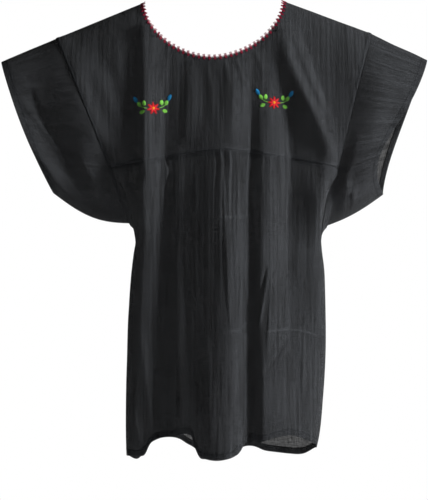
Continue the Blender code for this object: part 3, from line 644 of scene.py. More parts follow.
def side_edge(name, side, share):
    """Side border of a skirt panel: along the gusset, then down the side seam."""
    top = armhole(side, SEAM_ANGLE)
    hem = HEM_Z["back"][0 if side == "left" else -1]
    z = lerp(top[2], hem, share)
    x = curve(SIDE_Z, SIDE_X[side], z)
    x = lerp(top[0], x, smooth(share / UNDERARM_BLEND))
    open_share = np.clip(1 - share / GUSSET_SHARE, 0, 1)
    depth = LAYERS[name].arm_depth * math.sin(SEAM_ANGLE) * np.sin(open_share * math.pi / 2)
    return points(x, LAYERS[name].way * depth, z)


def skirt_grid(name):
    """The gathered panel of one layer, from the yoke seam to the hem."""
    layer = LAYERS[name]
    share = skirt_shares()[:, None]
    left, right = side_edge(name, "left", share[:, 0]), side_edge(name, "right", share[:, 0])
    left_x, right_x = left[:, None, 0], right[:, None, 0]
    top_share = np.linspace(0, 1, SKIRT_COLUMNS + 1)[None, :]
    top_x = lerp(left_x[:1], right_x[:1], top_share)
    upright = np.clip((top_x - left_x) / (right_x - left_x), 0, 1)
    turned = np.arccos(1 - 2 * upright) / math.pi
    middle = smooth(np.minimum(top_share, 1 - top_share) / CROWDED_SHARE)
    across = lerp(top_share, turned, middle)
    round_share = smooth(share / GUSSET_SHARE)
    below_seam = smooth(share / SEAM_BLEND)
    x = lerp(left_x, right_x, lerp(top_share, (1 - np.cos(math.pi * across)) / 2, below_seam))
    top_z = seam_height(top_x)
    top_z[0, [0, -1]] = left[0, 2], right[0, 2]
    z = lerp(top_z, curve(HEM_X[name], HEM_Z[name], x[-1:]), share)
    z[:, 0], z[:, -1] = left[:, 2], right[:, 2]
    flat_bulge = (1 - np.abs(2 * top_share - 1) ** YOKE_BULGE[0]) ** YOKE_BULGE[1]
    bulge = lerp(flat_bulge, np.sin(math.pi * across) ** BODY_BULGE, round_share)
    side_depth = np.abs(left[:, None, 1])
    depth = lerp(side_depth, curve(DEPTH_Z, DEPTH[name], z), bulge)
    fade = smooth(np.minimum(top_share, 1 - top_share) / SIDE_SHARE)
    depth = lerp(standing_off(name, top_x, top_z), depth + relief(name, x, z) * fade, below_seam)
    depth = depth + pleat_lift(name, top_x, top_z - z) + pressed_lift(name, x, share)
    depth[:, 0], depth[:, -1] = side_depth[:, 0], side_depth[:, 0]
    return points(x, layer.way * depth, z)


def gusset_grid(side):
    """The underarm gusset: from the lower armhole down to its point on the side seam."""
    angle = np.linspace(SEAM_ANGLE, 2 * math.pi - SEAM_ANGLE, GUSSET_COLUMNS + 1)
    shares = gusset_shares()
    back, front = (side_edge(name, side, shares) for name in LAYERS)
    tip = (back[-1] + front[-1]) / 2
    plain = lerp(armhole(side, angle)[None], tip, shares[:, None, None] / GUSSET_SHARE)
    across = np.linspace(0, 1, GUSSET_COLUMNS + 1)[None, :, None]
    towards_back = (back - plain[:, 0])[:, None] * (1 - across) ** 2
    towards_front = (front - plain[:, -1])[:, None] * across**2
    return plain + towards_back + towards_front


def sleeve_angles():
    """Angles round the armhole from the underside, by the front, the top and the back, to the underside."""
    upper = np.linspace(0, SEAM_ANGLE, ARM_STEPS + 1)
    lower = np.linspace(SEAM_ANGLE, math.pi, GUSSET_COLUMNS // 2 + 1)[1:]
    half = np.concatenate([upper, lower])
    return np.concatenate([2 * math.pi - half[::-1], 2 * math.pi + half[1:]])


def sleeve_grid(side):
    """A sleeve, cut as a strip and closed by a seam underneath."""
    angle = sleeve_angles()[None, :]
    along = np.linspace(0, 1, SLEEVE_RINGS + 1)[:, None]
    start, end = armhole(side, angle), cuff(side, angle)
    grid = lerp(start, end, along[..., None])
    low = ((1 - np.cos(angle)) / 2) ** SAG_POWER
    grid[..., 2] -= UNDER_SLEEVE_SAG[side] * np.sin(math.pi * along) * low
    is_back = np.sin(angle) > 0
    x, z = grid[..., 0], grid[..., 2]
    lift = np.where(is_back, -relief("back", x, z), relief("front", x, z))
    from_top = np.abs(angle - 2 * math.pi)
    inner_fade = smooth(np.abs(np.sin(angle)) / SLEEVE_FADE[0])
    fade = lerp(seam_fade(from_top), inner_fade, smooth(along / SLEEVE_FADE[1]))
    grid[..., 1] += lift * fade
    return grid


def value_noise(u, v, seed):
    """Smooth noise between -1 and 1, one cell to each unit of u and v."""
    rows = np.random.default_rng(seed)
    u, v = u - u.min(), v - v.min()
    lattice = rows.uniform(-1, 1, (int(u.max()) + 2, int(v.max()) + 2))
    i, j = u.astype(int), v.astype(int)
    s, t = smooth(u - i), smooth(v - j)
    near = lerp(lattice[i, j], lattice[i + 1, j], s)
    far = lerp(lattice[i, j + 1], lattice[i + 1, j + 1], s)
    return lerp(near, far, t)


def line_lengths(grid):
    """Distance of each point from the first row, measured down its column."""
    steps = np.linalg.norm(np.diff(grid, axis=0), axis=-1)
    return np.concatenate([np.zeros((1, grid.shape[1])), np.cumsum(steps, axis=0)])


def thread_map(grid, hanging):
    """Place of each point on the flat cloth, in metres: across and down. Hanging cloth has a plumb grain."""
    if hanging:
        return np.stack([grid[..., 0], -grid[..., 2]], axis=-1)
    down = line_lengths(grid)
    across = line_lengths(grid.swapaxes(0, 1)).T
    middle = grid.shape[0] // 2
    return np.stack([np.broadcast_to(across[middle], down.shape), down], axis=-1)


def sampled(grid, values, distances):
    """Values read down each column at the given distances from the first row."""
    depth = line_lengths(grid)
    out = np.empty((len(distances), grid.shape[1], values.shape[-1]))
    for column in range(grid.shape[1]):
        for axis in range(values.shape[-1]):
            out[:, column, axis] = np.interp(distances, depth[:, column], values[:, column, axis])
    return out


class Panel:
    """A panel of cloth as rows and columns of points, with the way each faces, its thread map, and its wear
    and painted highlights.
    """

    def __init__(self, grid, outward, seed, crinkle, hanging=False):
        self.outward = np.broadcast_to(outward, grid.shape)
        self.flat = thread_map(grid, hanging)
        self.pressed = np.zeros(grid.shape[:2])
        rows, columns = (np.arange(count) for count in grid.shape[:2])
        from_edge = np.minimum.outer(np.minimum(rows, rows[::-1]), np.minimum(columns, columns[::-1]))
        across, down = self.flat[..., 0], self.flat[..., 1]
        lift = sum(
            streak.height * value_noise(across / streak.width, down / streak.length, seed + i)
            for i, streak in enumerate(crinkle)
        )
        self.grid = grid + facing(grid, outward) * (lift * smooth(from_edge / CRINKLE_MARGIN))[..., None]

    def flip(self):
        """Turns the rows round, so that the last one is the first."""
        for name in ("grid", "outward", "flat", "pressed"):
            setattr(self, name, getattr(self, name)[::-1])

    def edge(self):
        """The rows beside the first one, and the way they face."""
        return self.grid[:KEPT_ROWS], self.outward[:KEPT_ROWS]

    def sink_seam(self):
        """Draws the cloth in along its first row, where it is sewn."""
        dip = SEAM_DIP * np.exp(-((line_lengths(self.grid) / SEAM_DIP_WIDTH) ** 2))
        self.grid = self.grid - facing(self.grid, self.outward) * dip[..., None]

    def press_over(self, width):
        """Lifts the cloth that lies over a turned edge, beside its first row, and marks it lighter there:
        partly rubbed nap, partly a painted highlight where the cloth stands up.
        """
        start, length = PRESSED_FADE
        band = 1 - smooth((line_lengths(self.grid) - width * start) / (width * length))
        self.pressed = np.maximum(self.pressed, band)
        self.grid = self.grid + facing(self.grid, self.outward) * (PRESSED_RISE * band)[..., None]

    def turn_in(self, width):
        """Folds the cloth over its first row, to run back inside."""
        normals = facing(self.grid, self.outward)
        distances = np.linspace(0, width, TURN_ROWS)
        inside = sampled(self.grid, self.grid, distances) - sampled(self.grid, normals, distances) * TURN_GAP
        away = self.grid[0] - self.grid[1]
        away /= np.maximum(np.linalg.norm(away, axis=-1, keepdims=True), 1e-9)
        bend = self.grid[0] + (away - normals[0]) * TURN_GAP / 2
        turned = np.concatenate([bend[None], inside])
        steps = np.concatenate([[TURN_GAP], distances + TURN_GAP * 1.5])
        flat = self.flat[:1] - steps[:, None, None] * (0, 1)
        self.outward = np.concatenate([-self.outward[: len(turned)], self.outward])
        self.grid = np.concatenate([turned[::-1], self.grid])
        self.flat = np.concatenate([flat[::-1], self.flat])
        self.pressed = np.concatenate([np.zeros(turned.shape[:2]), self.pressed])


def linear_colour(code):
    """A colour given as sRGB hex, as linear red, green and blue."""
    values = [int(code[i : i + 2], 16) / 255 for i in (0, 2, 4)]
    return [v / 12.92 if v <= 0.04045 else ((v + 0.055) / 1.055) ** 2.4 for v in values]


def length(name, description, default):
    return FloatProperty(name=name, description=description, default=default, unit="LENGTH")


def power(name, description, default):
    return FloatProperty(name=name, description=description, default=default, unit="POWER")


def dye(name, description, code):
    colour = linear_colour(code)
    return FloatVectorProperty(name=name, description=description, default=colour, size=3, subtype="COLOR")


class ClothSettings(bpy.types.PropertyGroup):
    thickness: length("Thickness", "Thickness of the cotton cloth", 0.0005)
    hem_width: length("Hem width", "How far the lower hem and the cuffs are turned in", 0.010)
    allowance: length("Seam allowance", "How far the yokes' sewn edges are turned in", 0.006)
    see_through: FloatProperty(
        name="See-through",
        description="Share of light that passes one layer of the cloth",
        default=0.068,
        min=0,
        max=1,
        subtype="FACTOR",
    )
    colour: dye("Colour", "Dyed colour of the cotton", "28292b")


class ThreadSettings(bpy.types.PropertyGroup):
    floss_width: length("Floss width", "Width of one embroidery stitch", 0.00052)
    seam_stitch: length("Seam stitch", "Length of one machine stitch", 0.0026)
    tooth_pitch: length("Edging pitch", "Distance between two fans of the neck edging", 0.0086)
    tooth_reach: length("Edging reach", "How far the edging's fans reach down the cloth", 0.0050)
    tooth_rise: length("Edging rise", "How far the edging's fans stand above its cord", 0.0038)
    tooth_half_width: length("Edging half width", "Half the width of one fan", 0.0018)
    cord_radius: length("Cord radius", "Radius of the edging's twisted cord", 0.0004)
    edging: dye("Edging", "Colour of the neck edging", "8c1030")
    petal: dye("Petals", "Colour of the flowers", "b4161f")
    centre: dye("Centres", "Colour of the flowers' centres", "e89a1c")
    leaf: dye("Leaves", "Colour of the leaves", "6fae45")
    bud: dye("Buds", "Colour of the buds", "1a6f9e")
    sewing: dye("Sewing thread", "Colour of the machine stitches", "1c1d1f")


class StageSettings(bpy.types.PropertyGroup):
    floor_height: length("Floor", "Height of the floor under the shoulder line", -1.30)
    key_power: power("Key", "Power of the soft light on the right", 218.0)
    fill_power: power("Fill", "Power of the soft light on the left", 4.0)
    front_power: power("Front", "Power of the soft light above the camera", 3.0)


def add_node(tree, kind, settings=None, **links):
    """Adds one node with its settings, and links or sets its inputs by name."""
    node = tree.nodes.new(kind)
    for key, value in (settings or {}).items():
        setattr(node, key, value)
    for key, value in links.items():
        key = key.replace("_", " ")
        socket = node.inputs[int(key[1:])] if key[0] == "n" and key[1:].isdigit() else node.inputs[key]
        if isinstance(value, bpy.types.NodeSocket):
            tree.links.new(value, socket)
        else:
            socket.default_value = value
    return node


def new_material(name):
    made = bpy.data.materials.new(name)
    made.use_nodes = True
    made.node_tree.nodes.clear()
    return made


def black_gauze(settings):
    """Cotton gauze: plain-woven, garment-dyed black. Matt and uneven, with slubs and gaps between yarns."""
    made = new_material("black_cotton_gauze")
    tree = made.node_tree
    place = add_node(tree, "ShaderNodeUVMap", {"uv_map": "thread"}).outputs["UV"]
    # Yarns lie 0.4 mm apart and are drawn 1.1 mm apart, so that they show in the render
    warp_place = add_node(tree, "ShaderNodeMapping", Vector=place, Scale=(900, 70, 1)).outputs["Vector"]
    weft_place = add_node(tree, "ShaderNodeMapping", Vector=place, Scale=(90, 900, 1)).outputs["Vector"]
    warp = add_node(tree, "ShaderNodeTexNoise", Vector=warp_place, Scale=1.0, Detail=1.0).outputs["Fac"]
    weft = add_node(tree, "ShaderNodeTexNoise", Vector=weft_place, Scale=1.0, Detail=1.0).outputs["Fac"]
    yarn = add_node(tree, "ShaderNodeMath", ADD, n0=warp, n1=weft).outputs["Value"]
    # Streaks of thicker yarn run down the cloth, 4 mm apart and 11 cm long
    streak_place = add_node(tree, "ShaderNodeMapping", Vector=place, Scale=(260, 9, 1)).outputs["Vector"]
    streak = add_node(tree, "ShaderNodeTexNoise", Vector=streak_place, Scale=1.0, Detail=3.0).outputs["Fac"]
    patch = add_node(tree, "ShaderNodeTexNoise", Vector=place, Scale=14.0, Detail=2.0).outputs["Fac"]
    # Lighter where marked: worn gussets, rubbed nap over turned edges, and painted highlights over turned
    # edges and along pressed lines
    pressed = add_node(tree, "ShaderNodeAttribute", {"attribute_name": "pressed"}).outputs["Fac"]
    tone = add_node(tree, "ShaderNodeMath", MULTIPLY, n0=yarn, n1=streak).outputs["Value"]
    tone = add_node(tree, "ShaderNodeMath", MULTIPLY_ADD, n0=pressed, n1=0.16, n2=tone).outputs["Value"]
    tone = add_node(tree, "ShaderNodeMath", MULTIPLY_ADD, n0=patch, n1=0.25, n2=tone).outputs["Value"]
    share = add_node(tree, "ShaderNodeMapRange", Value=tone, From_Min=0.42, From_Max=0.86).outputs["Result"]
    dark = [c * 0.5 for c in settings.colour]
    light = [c * 1.6 for c in settings.colour]
    colour = add_node(tree, "ShaderNodeMix", {"data_type": "RGBA"}, Factor=share)
    colour.inputs[6].default_value = (*dark, 1)
    colour.inputs[7].default_value = (*light, 1)
    # A wall has two faces, and each lets through the square root of one layer's share
    through = math.sqrt(settings.see_through)
    gap = add_node(
        tree, "ShaderNodeMapRange", Value=yarn, From_Min=0.80, From_Max=1.20,
        To_Min=1 - through * 1.35, To_Max=1 - through * 0.55,
    )
    height = add_node(tree, "ShaderNodeMath", MULTIPLY_ADD, n0=streak, n1=1.6, n2=yarn).outputs["Value"]
    bump = add_node(tree, "ShaderNodeBump", Height=height, Strength=0.7, Distance=0.0009).outputs["Normal"]
    shader = add_node(
        tree, "ShaderNodeBsdfPrincipled", Base_Color=colour.outputs[2], Alpha=gap.outputs["Result"],
        Normal=bump, Roughness=0.92, Sheen_Weight=0.03, Sheen_Roughness=0.6, Specular_IOR_Level=0.18,
    )
    add_node(tree, "ShaderNodeOutputMaterial", Surface=shader.outputs["BSDF"])
    return made


def floss(name, colour, spread=0.35, roughness=0.42):
    """Cotton floss or thread: dyed and loosely twisted. Nearly matt, with its strands just showing."""
    made = new_material(name)
    tree = made.node_tree
    place = add_node(tree, "ShaderNodeTexCoord").outputs["Object"]
    # Strands are 0.2 mm thick and are drawn 1.1 mm thick, so that they show in the render
    strand = add_node(tree, "ShaderNodeTexNoise", Vector=place, Scale=900.0, Detail=2.0).outputs["Fac"]
    # Each thread's tone: on leaves and buds it runs from base to tip, and on the petals it also holds a
    # painted shade between petals
    shade = add_node(tree, "ShaderNodeAttribute", {"attribute_name": "shade"}).outputs["Fac"]
    tone = add_node(tree, "ShaderNodeMath", MULTIPLY_ADD, n0=strand, n1=0.5, n2=shade).outputs["Value"]
    share = add_node(tree, "ShaderNodeMapRange", Value=tone, From_Min=0.1, From_Max=1.2).outputs["Result"]
    mix = add_node(tree, "ShaderNodeMix", {"data_type": "RGBA"}, Factor=share)
    mix.inputs[6].default_value = (*[c * (1 - spread) for c in colour], 1)
    mix.inputs[7].default_value = (*[min(1, c * (1 + spread)) for c in colour], 1)
    bump = add_node(tree, "ShaderNodeBump", Height=strand, Strength=0.4, Distance=0.0001).outputs["Normal"]
    shader = add_node(
        tree, "ShaderNodeBsdfPrincipled", Base_Color=mix.outputs[2], Normal=bump, Roughness=roughness,
        Specular_IOR_Level=0.12,
    )
    add_node(tree, "ShaderNodeOutputMaterial", Surface=shader.outputs["BSDF"])
    return made


def painted_floor():
    """Paper sweep: matt and off-white."""
    made = new_material("pale_paper")
    tree = made.node_tree
    place = add_node(tree, "ShaderNodeTexCoord").outputs["Object"]
    grain = add_node(tree, "ShaderNodeTexNoise", Vector=place, Scale=60.0, Detail=3.0).outputs["Fac"]
    mix = add_node(tree, "ShaderNodeMix", {"data_type": "RGBA"}, Factor=grain)
    mix.inputs[6].default_value = (*linear_colour("f2f2f2"), 1)
    mix.inputs[7].default_value = (*linear_colour("f8f8f8"), 1)
    shader = add_node(tree, "ShaderNodeBsdfPrincipled", Base_Color=mix.outputs[2], Roughness=0.9)
    add_node(tree, "ShaderNodeOutputMaterial", Surface=shader.outputs["BSDF"])
    return made


def place_piece(name, mesh, finish):
    obj = bpy.data.objects.new(name, mesh)
    bpy.context.scene.collection.objects.link(obj)
    if finish is not None:
        mesh.materials.clear()
        mesh.materials.append(finish)
    return obj


def sheet_mesh(name, panel):
    """A mesh of one panel's points, facing out, with its thread map, and its wear and painted highlights."""
    rows, columns = panel.grid.shape[:2]
    corner = np.arange(rows * columns).reshape(rows, columns)
    corners = corner[:-1, :-1], corner[:-1, 1:], corner[1:, 1:], corner[1:, :-1]
    faces = np.stack(corners, axis=-1).reshape(-1, 4)
    normal = np.cross(np.gradient(panel.grid, axis=1), np.gradient(panel.grid, axis=0))
    if (normal * panel.outward).sum() > 0:
        faces = faces[:, ::-1]
    mesh = bpy.data.meshes.new(name)
    mesh.from_pydata(panel.grid.reshape(-1, 3), [], faces.tolist())
    threads = mesh.uv_layers.new(name="thread")
    threads.data.foreach_set("uv", panel.flat.reshape(-1, 2)[faces.reshape(-1)].reshape(-1))
    pressed = mesh.attributes.new("pressed", "FLOAT", "POINT")
    pressed.data.foreach_set("value", panel.pressed.reshape(-1))
    weld = bmesh.new()
    weld.from_mesh(mesh)
    bmesh.ops.remove_doubles(weld, verts=weld.verts, dist=1e-7)
    weld.to_mesh(mesh)
    weld.free()
    mesh.shade_smooth()
    return mesh


def cloth_piece(name, panel, node):
    """A panel of cloth with its thickness, standing for its solid."""
    settings = bpy.context.scene.blouse_cloth
    finish = bpy.data.materials.get("black_cotton_gauze") or black_gauze(settings)
    obj = place_piece(name, sheet_mesh(name, panel), finish)
    wall = obj.modifiers.new("wall", "SOLIDIFY")
    wall.thickness = settings.thickness
    wall.offset = 0
    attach(obj, "root")
    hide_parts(node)
    return obj


def new_tree(name, sizes):
    """An empty Geometry Nodes tree, and the sockets of its inputs: lines, sizes and a finish."""
    tree = bpy.data.node_groups.new(name, "GeometryNodeTree")
    tree.interface.new_socket("Geometry", in_out="INPUT", socket_type="NodeSocketGeometry")
    for size in sizes:
        tree.interface.new_socket(size, in_out="INPUT", socket_type="NodeSocketFloat")
    tree.interface.new_socket("Finish", in_out="INPUT", socket_type="NodeSocketMaterial")
    tree.interface.new_socket("Geometry", in_out="OUTPUT", socket_type="NodeSocketGeometry")
    return tree, add_node(tree, "NodeGroupInput").outputs


def finish_tree(tree, geometry, finish):
    """Ends a tree: its instances made real, shaded smooth and given their material."""
    solid = add_node(tree, "GeometryNodeRealizeInstances", Geometry=geometry).outputs["Geometry"]
    soft = add_node(tree, "GeometryNodeSetShadeSmooth", Geometry=solid).outputs["Geometry"]
    dyed = add_node(tree, "GeometryNodeSetMaterial", Geometry=soft, Material=finish).outputs["Geometry"]
    add_node(tree, "NodeGroupOutput", Geometry=dyed)
    return tree


def thread_tree():
    """Geometry Nodes: every line becomes a round thread."""
    tree, given = new_tree("thread_tree", ("Thread radius",))
    lines = add_node(tree, "GeometryNodeMeshToCurve", Mesh=given["Geometry"]).outputs["Curve"]
    ring = add_node(tree, "GeometryNodeCurvePrimitiveCircle", Resolution=5, Radius=given["Thread radius"])
    ring = ring.outputs["Curve"]
    tubes = add_node(tree, "GeometryNodeCurveToMesh", Curve=lines, Profile_Curve=ring, Fill_Caps=True)
    return finish_tree(tree, tubes.outputs["Mesh"], given["Finish"])


def stitch_tree():
    """Geometry Nodes: machine stitches, end to end along each line."""
    tree, given = new_tree("stitch_tree", ("Pitch", "Thread radius"))
    pitch, radius = given["Pitch"], given["Thread radius"]
    lines = add_node(tree, "GeometryNodeMeshToCurve", Mesh=given["Geometry"]).outputs["Curve"]
    spots = add_node(tree, "GeometryNodeCurveToPoints", LENGTH, Curve=lines, Length=pitch).outputs
    turn = add_node(tree, "FunctionNodeAlignRotationToVector", {"axis": "Z"}, Vector=spots["Tangent"])
    bead = add_node(tree, "GeometryNodeMeshUVSphere", Segments=5, Rings=4, Radius=1.0).outputs["Mesh"]
    reach = add_node(tree, "ShaderNodeMath", MULTIPLY, n0=pitch, n1=STITCH_REACH).outputs["Value"]
    size = add_node(tree, "ShaderNodeCombineXYZ", X=radius, Y=radius, Z=reach).outputs["Vector"]
    sewn = add_node(
        tree, "GeometryNodeInstanceOnPoints", Points=spots["Points"], Instance=bead,
        Rotation=turn.outputs["Rotation"], Scale=size,
    )
    return finish_tree(tree, sewn.outputs["Instances"], given["Finish"])


def edging_tree():
    """Geometry Nodes: a twisted cord along the line, with a fan of stitches at each pitch."""
    sizes = ("Pitch", "Reach", "Rise", "Half width", "Thread radius", "Cord radius")
    tree, given = new_tree("edging_tree", sizes)
    line = add_node(tree, "GeometryNodeMeshToCurve", Mesh=given["Geometry"]).outputs["Curve"]
    ways = {}
    for name in ("down", "out"):
        way = add_node(tree, "GeometryNodeInputNamedAttribute", {"data_type": "FLOAT_VECTOR"}, Name=name)
        ways[name] = way.outputs["Attribute"]
    # Two strands twist round each other
    fine = add_node(tree, "GeometryNodeResampleCurve", LENGTH, Curve=line, Length=CORD_STEP).outputs["Curve"]
    run = add_node(tree, "GeometryNodeSplineParameter").outputs["Length"]
    radius = given["Cord radius"]
    apart = add_node(tree, "ShaderNodeMath", MULTIPLY, n0=radius, n1=STRAND_PLACE).outputs["Value"]
    thick = add_node(tree, "ShaderNodeMath", MULTIPLY, n0=radius, n1=STRAND_RADIUS).outputs["Value"]
    ring = add_node(tree, "GeometryNodeCurvePrimitiveCircle", Resolution=6, Radius=thick).outputs["Curve"]
    parts = add_node(tree, "GeometryNodeJoinGeometry")
    for phase in (0, math.pi):
        turn = 2 * math.pi / CORD_TURN
        angle = add_node(tree, "ShaderNodeMath", MULTIPLY_ADD, n0=run, n1=turn, n2=phase).outputs["Value"]
        shift = (0, 0, 0)
        for name, wave in (("out", "COSINE"), ("down", "SINE")):
            swing = add_node(tree, "ShaderNodeMath", {"operation": wave}, n0=angle).outputs["Value"]
            swing = add_node(tree, "ShaderNodeMath", MULTIPLY, n0=swing, n1=apart).outputs["Value"]
            shift = add_node(tree, "ShaderNodeVectorMath", MULTIPLY_ADD, n0=ways[name], n1=swing, n2=shift)
            shift = shift.outputs["Vector"]
        strand = add_node(tree, "GeometryNodeSetPosition", Geometry=fine, Offset=shift).outputs["Geometry"]
        tube = add_node(tree, "GeometryNodeCurveToMesh", Curve=strand, Profile_Curve=ring).outputs["Mesh"]
        tree.links.new(tube, parts.inputs["Geometry"])
    # The fan's threads lie side by side over the edge
    ring = add_node(tree, "GeometryNodeCurvePrimitiveCircle", Resolution=5, Radius=given["Thread radius"])
    ring = ring.outputs["Curve"]
    above = add_node(tree, "ShaderNodeCombineXYZ", X=given["Half width"], Z=given["Rise"]).outputs["Vector"]
    below = add_node(tree, "ShaderNodeCombineXYZ", X=given["Half width"], Z=given["Reach"]).outputs["Vector"]
    fan = add_node(tree, "GeometryNodeJoinGeometry")
    for place in FAN_PLACES:
        root = add_node(tree, "ShaderNodeVectorMath", MULTIPLY, n0=above, n1=(place, 0, -1)).outputs["Vector"]
        drawn_in = (place * FAN_GATHER, 0, 1 - FAN_SHORTENING * abs(place))
        tip = add_node(tree, "ShaderNodeVectorMath", MULTIPLY, n0=below, n1=drawn_in).outputs["Vector"]
        thread = add_node(tree, "GeometryNodeCurvePrimitiveLine", Start=root, End=tip).outputs["Curve"]
        tube = add_node(tree, "GeometryNodeCurveToMesh", Curve=thread, Profile_Curve=ring, Fill_Caps=True)
        tree.links.new(tube.outputs["Mesh"], fan.inputs["Geometry"])
    spots = add_node(tree, "GeometryNodeCurveToPoints", LENGTH, Curve=line, Length=given["Pitch"]).outputs
    turn = add_node(
        tree, "FunctionNodeAxesToRotation", {"primary_axis": "Z", "secondary_axis": "Y"},
        Primary_Axis=ways["down"], Secondary_Axis=ways["out"],
    )
    teeth = add_node(
        tree, "GeometryNodeInstanceOnPoints", Points=spots["Points"], Instance=fan.outputs["Geometry"],
        Rotation=turn.outputs["Rotation"],
    )
    tree.links.new(teeth.outputs["Instances"], parts.inputs["Geometry"])
    return finish_tree(tree, parts.outputs["Geometry"], given["Finish"])


def grown(name, mesh, make_tree, values):
    """A piece grown from lines by a Geometry Nodes tree, as a plain mesh."""
    seed = place_piece(name + "_lines", mesh, None)
    tree = bpy.data.node_groups.get(make_tree.__name__) or make_tree()
    modifier = seed.modifiers.new("growth", "NODES")
    modifier.node_group = tree
    for item in tree.interface.items_tree:
        if item.item_type == "SOCKET" and item.in_out == "INPUT" and item.name in values:
            modifier[item.identifier] = values[item.name]
    seed.update_tag()
    bpy.context.view_layer.update()
    evaluated = seed.evaluated_get(bpy.context.evaluated_depsgraph_get())
    made = bpy.data.meshes.new_from_object(evaluated)
    made.name = name
    bpy.data.objects.remove(seed)
    obj = place_piece(name, made, values["Finish"])
    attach(obj, "root")
    return obj


def line_mesh(name, lines, closed=False, **attributes):
    """Lines of points as a mesh of edges, with the attributes given for each line's points."""
    mesh = bpy.data.meshes.new(name)
    places, edges = [], []
    for line in lines:
        first = len(places)
        places.extend(tuple(point) for point in line)
        edges.extend((i, i + 1) for i in range(first, len(places) - 1))
        if closed:
            edges.append((len(places) - 1, first))
    mesh.from_pydata(places, edges, [])
    for key, values in attributes.items():
        values = [np.asarray(value, float).reshape(len(line), -1) for value, line in zip(values, lines)]
        values = np.concatenate(values)
        kind, field = ("FLOAT", "value") if values.shape[1] == 1 else ("FLOAT_VECTOR", "vector")
        mesh.attributes.new(key, kind, "POINT").data.foreach_set(field, values.reshape(-1))
    return mesh


def stitch_line(edge, distance, lift):
    """A line on a panel's outer side, at a distance from its edge."""
    grid, outward = edge
    place, out = (sampled(grid, values, [distance])[0] for values in (grid, facing(grid, outward)))
    return place + out * lift


class BLOUSE_OT_yokes(bpy.types.Operator):
    """Lays the back and front yokes from the neckline to the armholes and the yoke seam"""

    bl_idname = "blouse.yokes"
    bl_label = "Yokes"

    def execute(self, context):
        settings = context.scene.blouse_cloth
        for i, (name, layer) in enumerate(LAYERS.items()):
            seed = SEEDS["yoke"] + SEED_STEP * i
            panel = Panel(yoke_grid(name), (0, layer.way, 0), seed, CRINKLE["yoke"], hanging=True)
            MADE[f"{name} neck"] = panel.edge()
            panel.flip()
            panel.press_over(settings.allowance)
            panel.sink_seam()
            MADE[f"{name} yoke seam"] = panel.edge()
            panel.turn_in(settings.allowance)
            MADE[name] = cloth_piece(f"{name}_yoke_cloth", panel, f"{name}_yoke")
        return {"FINISHED"}


class BLOUSE_OT_skirts(bpy.types.Operator):
    """Hangs the pleated back and front panels from the yoke seam to the hem"""

    bl_idname = "blouse.skirts"
    bl_label = "Skirts"

    def execute(self, context):
        settings = context.scene.blouse_cloth
        for i, (name, layer) in enumerate(LAYERS.items()):
            grid = skirt_grid(name)
            seed = SEEDS["skirt"] + SEED_STEP * i
            panel = Panel(grid, (0, layer.way, 0), seed, CRINKLE["skirt"], hanging=True)
            # The pressed lines are also painted lighter by their height: a painted highlight along their
            # crests
            lines = pressed_lift(name, grid[..., 0], skirt_shares()[:, None])
            panel.pressed += lines * PRESSED_LINE_HIGHLIGHT / MM
            panel.sink_seam()
            panel.flip()
            MADE[f"{name} hem"] = panel.edge()
            panel.turn_in(settings.hem_width)
            cloth_piece(f"{name}_skirt_cloth", panel, f"{name}_skirt")
        return {"FINISHED"}


class BLOUSE_OT_sleeves(bpy.types.Operator):
    """Sets the two short sleeves into the armholes, with turned cuffs"""

    bl_idname = "blouse.sleeves"
    bl_label = "Sleeves"

    def execute(self, context):
        settings = context.scene.blouse_cloth
        for i, side in enumerate(CORNERS):
            grid = sleeve_grid(side)
            outward = (grid - (0, 0, SLEEVE_MIDDLE)) * (0, 1, 1)
            panel = Panel(grid, outward, SEEDS["sleeve"] + SEED_STEP * i, CRINKLE["sleeve"])
            panel.sink_seam()
            panel.flip()
            MADE[f"{side} cuff"] = panel.edge()
            panel.turn_in(settings.hem_width)
            cloth_piece(f"{side}_sleeve_cloth", panel, f"sleeve_{side}")
        return {"FINISHED"}


class BLOUSE_OT_gussets(bpy.types.Operator):
    """Sets a gusset under each arm, between the sleeve and the side seam"""

    bl_idname = "blouse.gussets"
    bl_label = "Gussets"

    def execute(self, context):
        for i, side in enumerate(CORNERS):
            seed = SEEDS["gusset"] + SEED_STEP * i
            panel = Panel(gusset_grid(side), (SIDE_SIGN[side], 0, 0), seed, CRINKLE["yoke"])
            panel.pressed += GUSSET_WEAR
            cloth_piece(f"{side}_gusset_cloth", panel, f"gusset_{side}")
        return {"FINISHED"}


class BLOUSE_OT_stitching(bpy.types.Operator):
    """Sews the hem, the cuffs and the yoke seams with black machine stitches"""

    bl_idname = "blouse.stitching"
    bl_label = "Stitching"

    def execute(self, context):
        settings, threads = context.scene.blouse_cloth, context.scene.blouse_thread
        lift = settings.thickness / 2 + STITCH_LIFT
        hem = settings.hem_width - HEM_STITCH_INSET
        lines = {
            "hem_stitches": [stitch_line(MADE[f"{name} hem"], hem, lift) for name in LAYERS],
            "cuff_stitches": [stitch_line(MADE[f"{side} cuff"], hem, lift) for side in CORNERS],
            "yoke_stitches": [
                stitch_line(MADE[f"{name} yoke seam"], SEAM_STITCH_DISTANCE, lift) for name in LAYERS
            ],
        }
        finish = floss("black_sewing_thread", threads.sewing, roughness=0.6)
        sizes = {"Pitch": threads.seam_stitch, "Thread radius": MACHINE_THREAD_RADIUS, "Finish": finish}
        for name, rows in lines.items():
            grown(name, line_mesh(name, rows), stitch_tree, sizes)
        return {"FINISHED"}


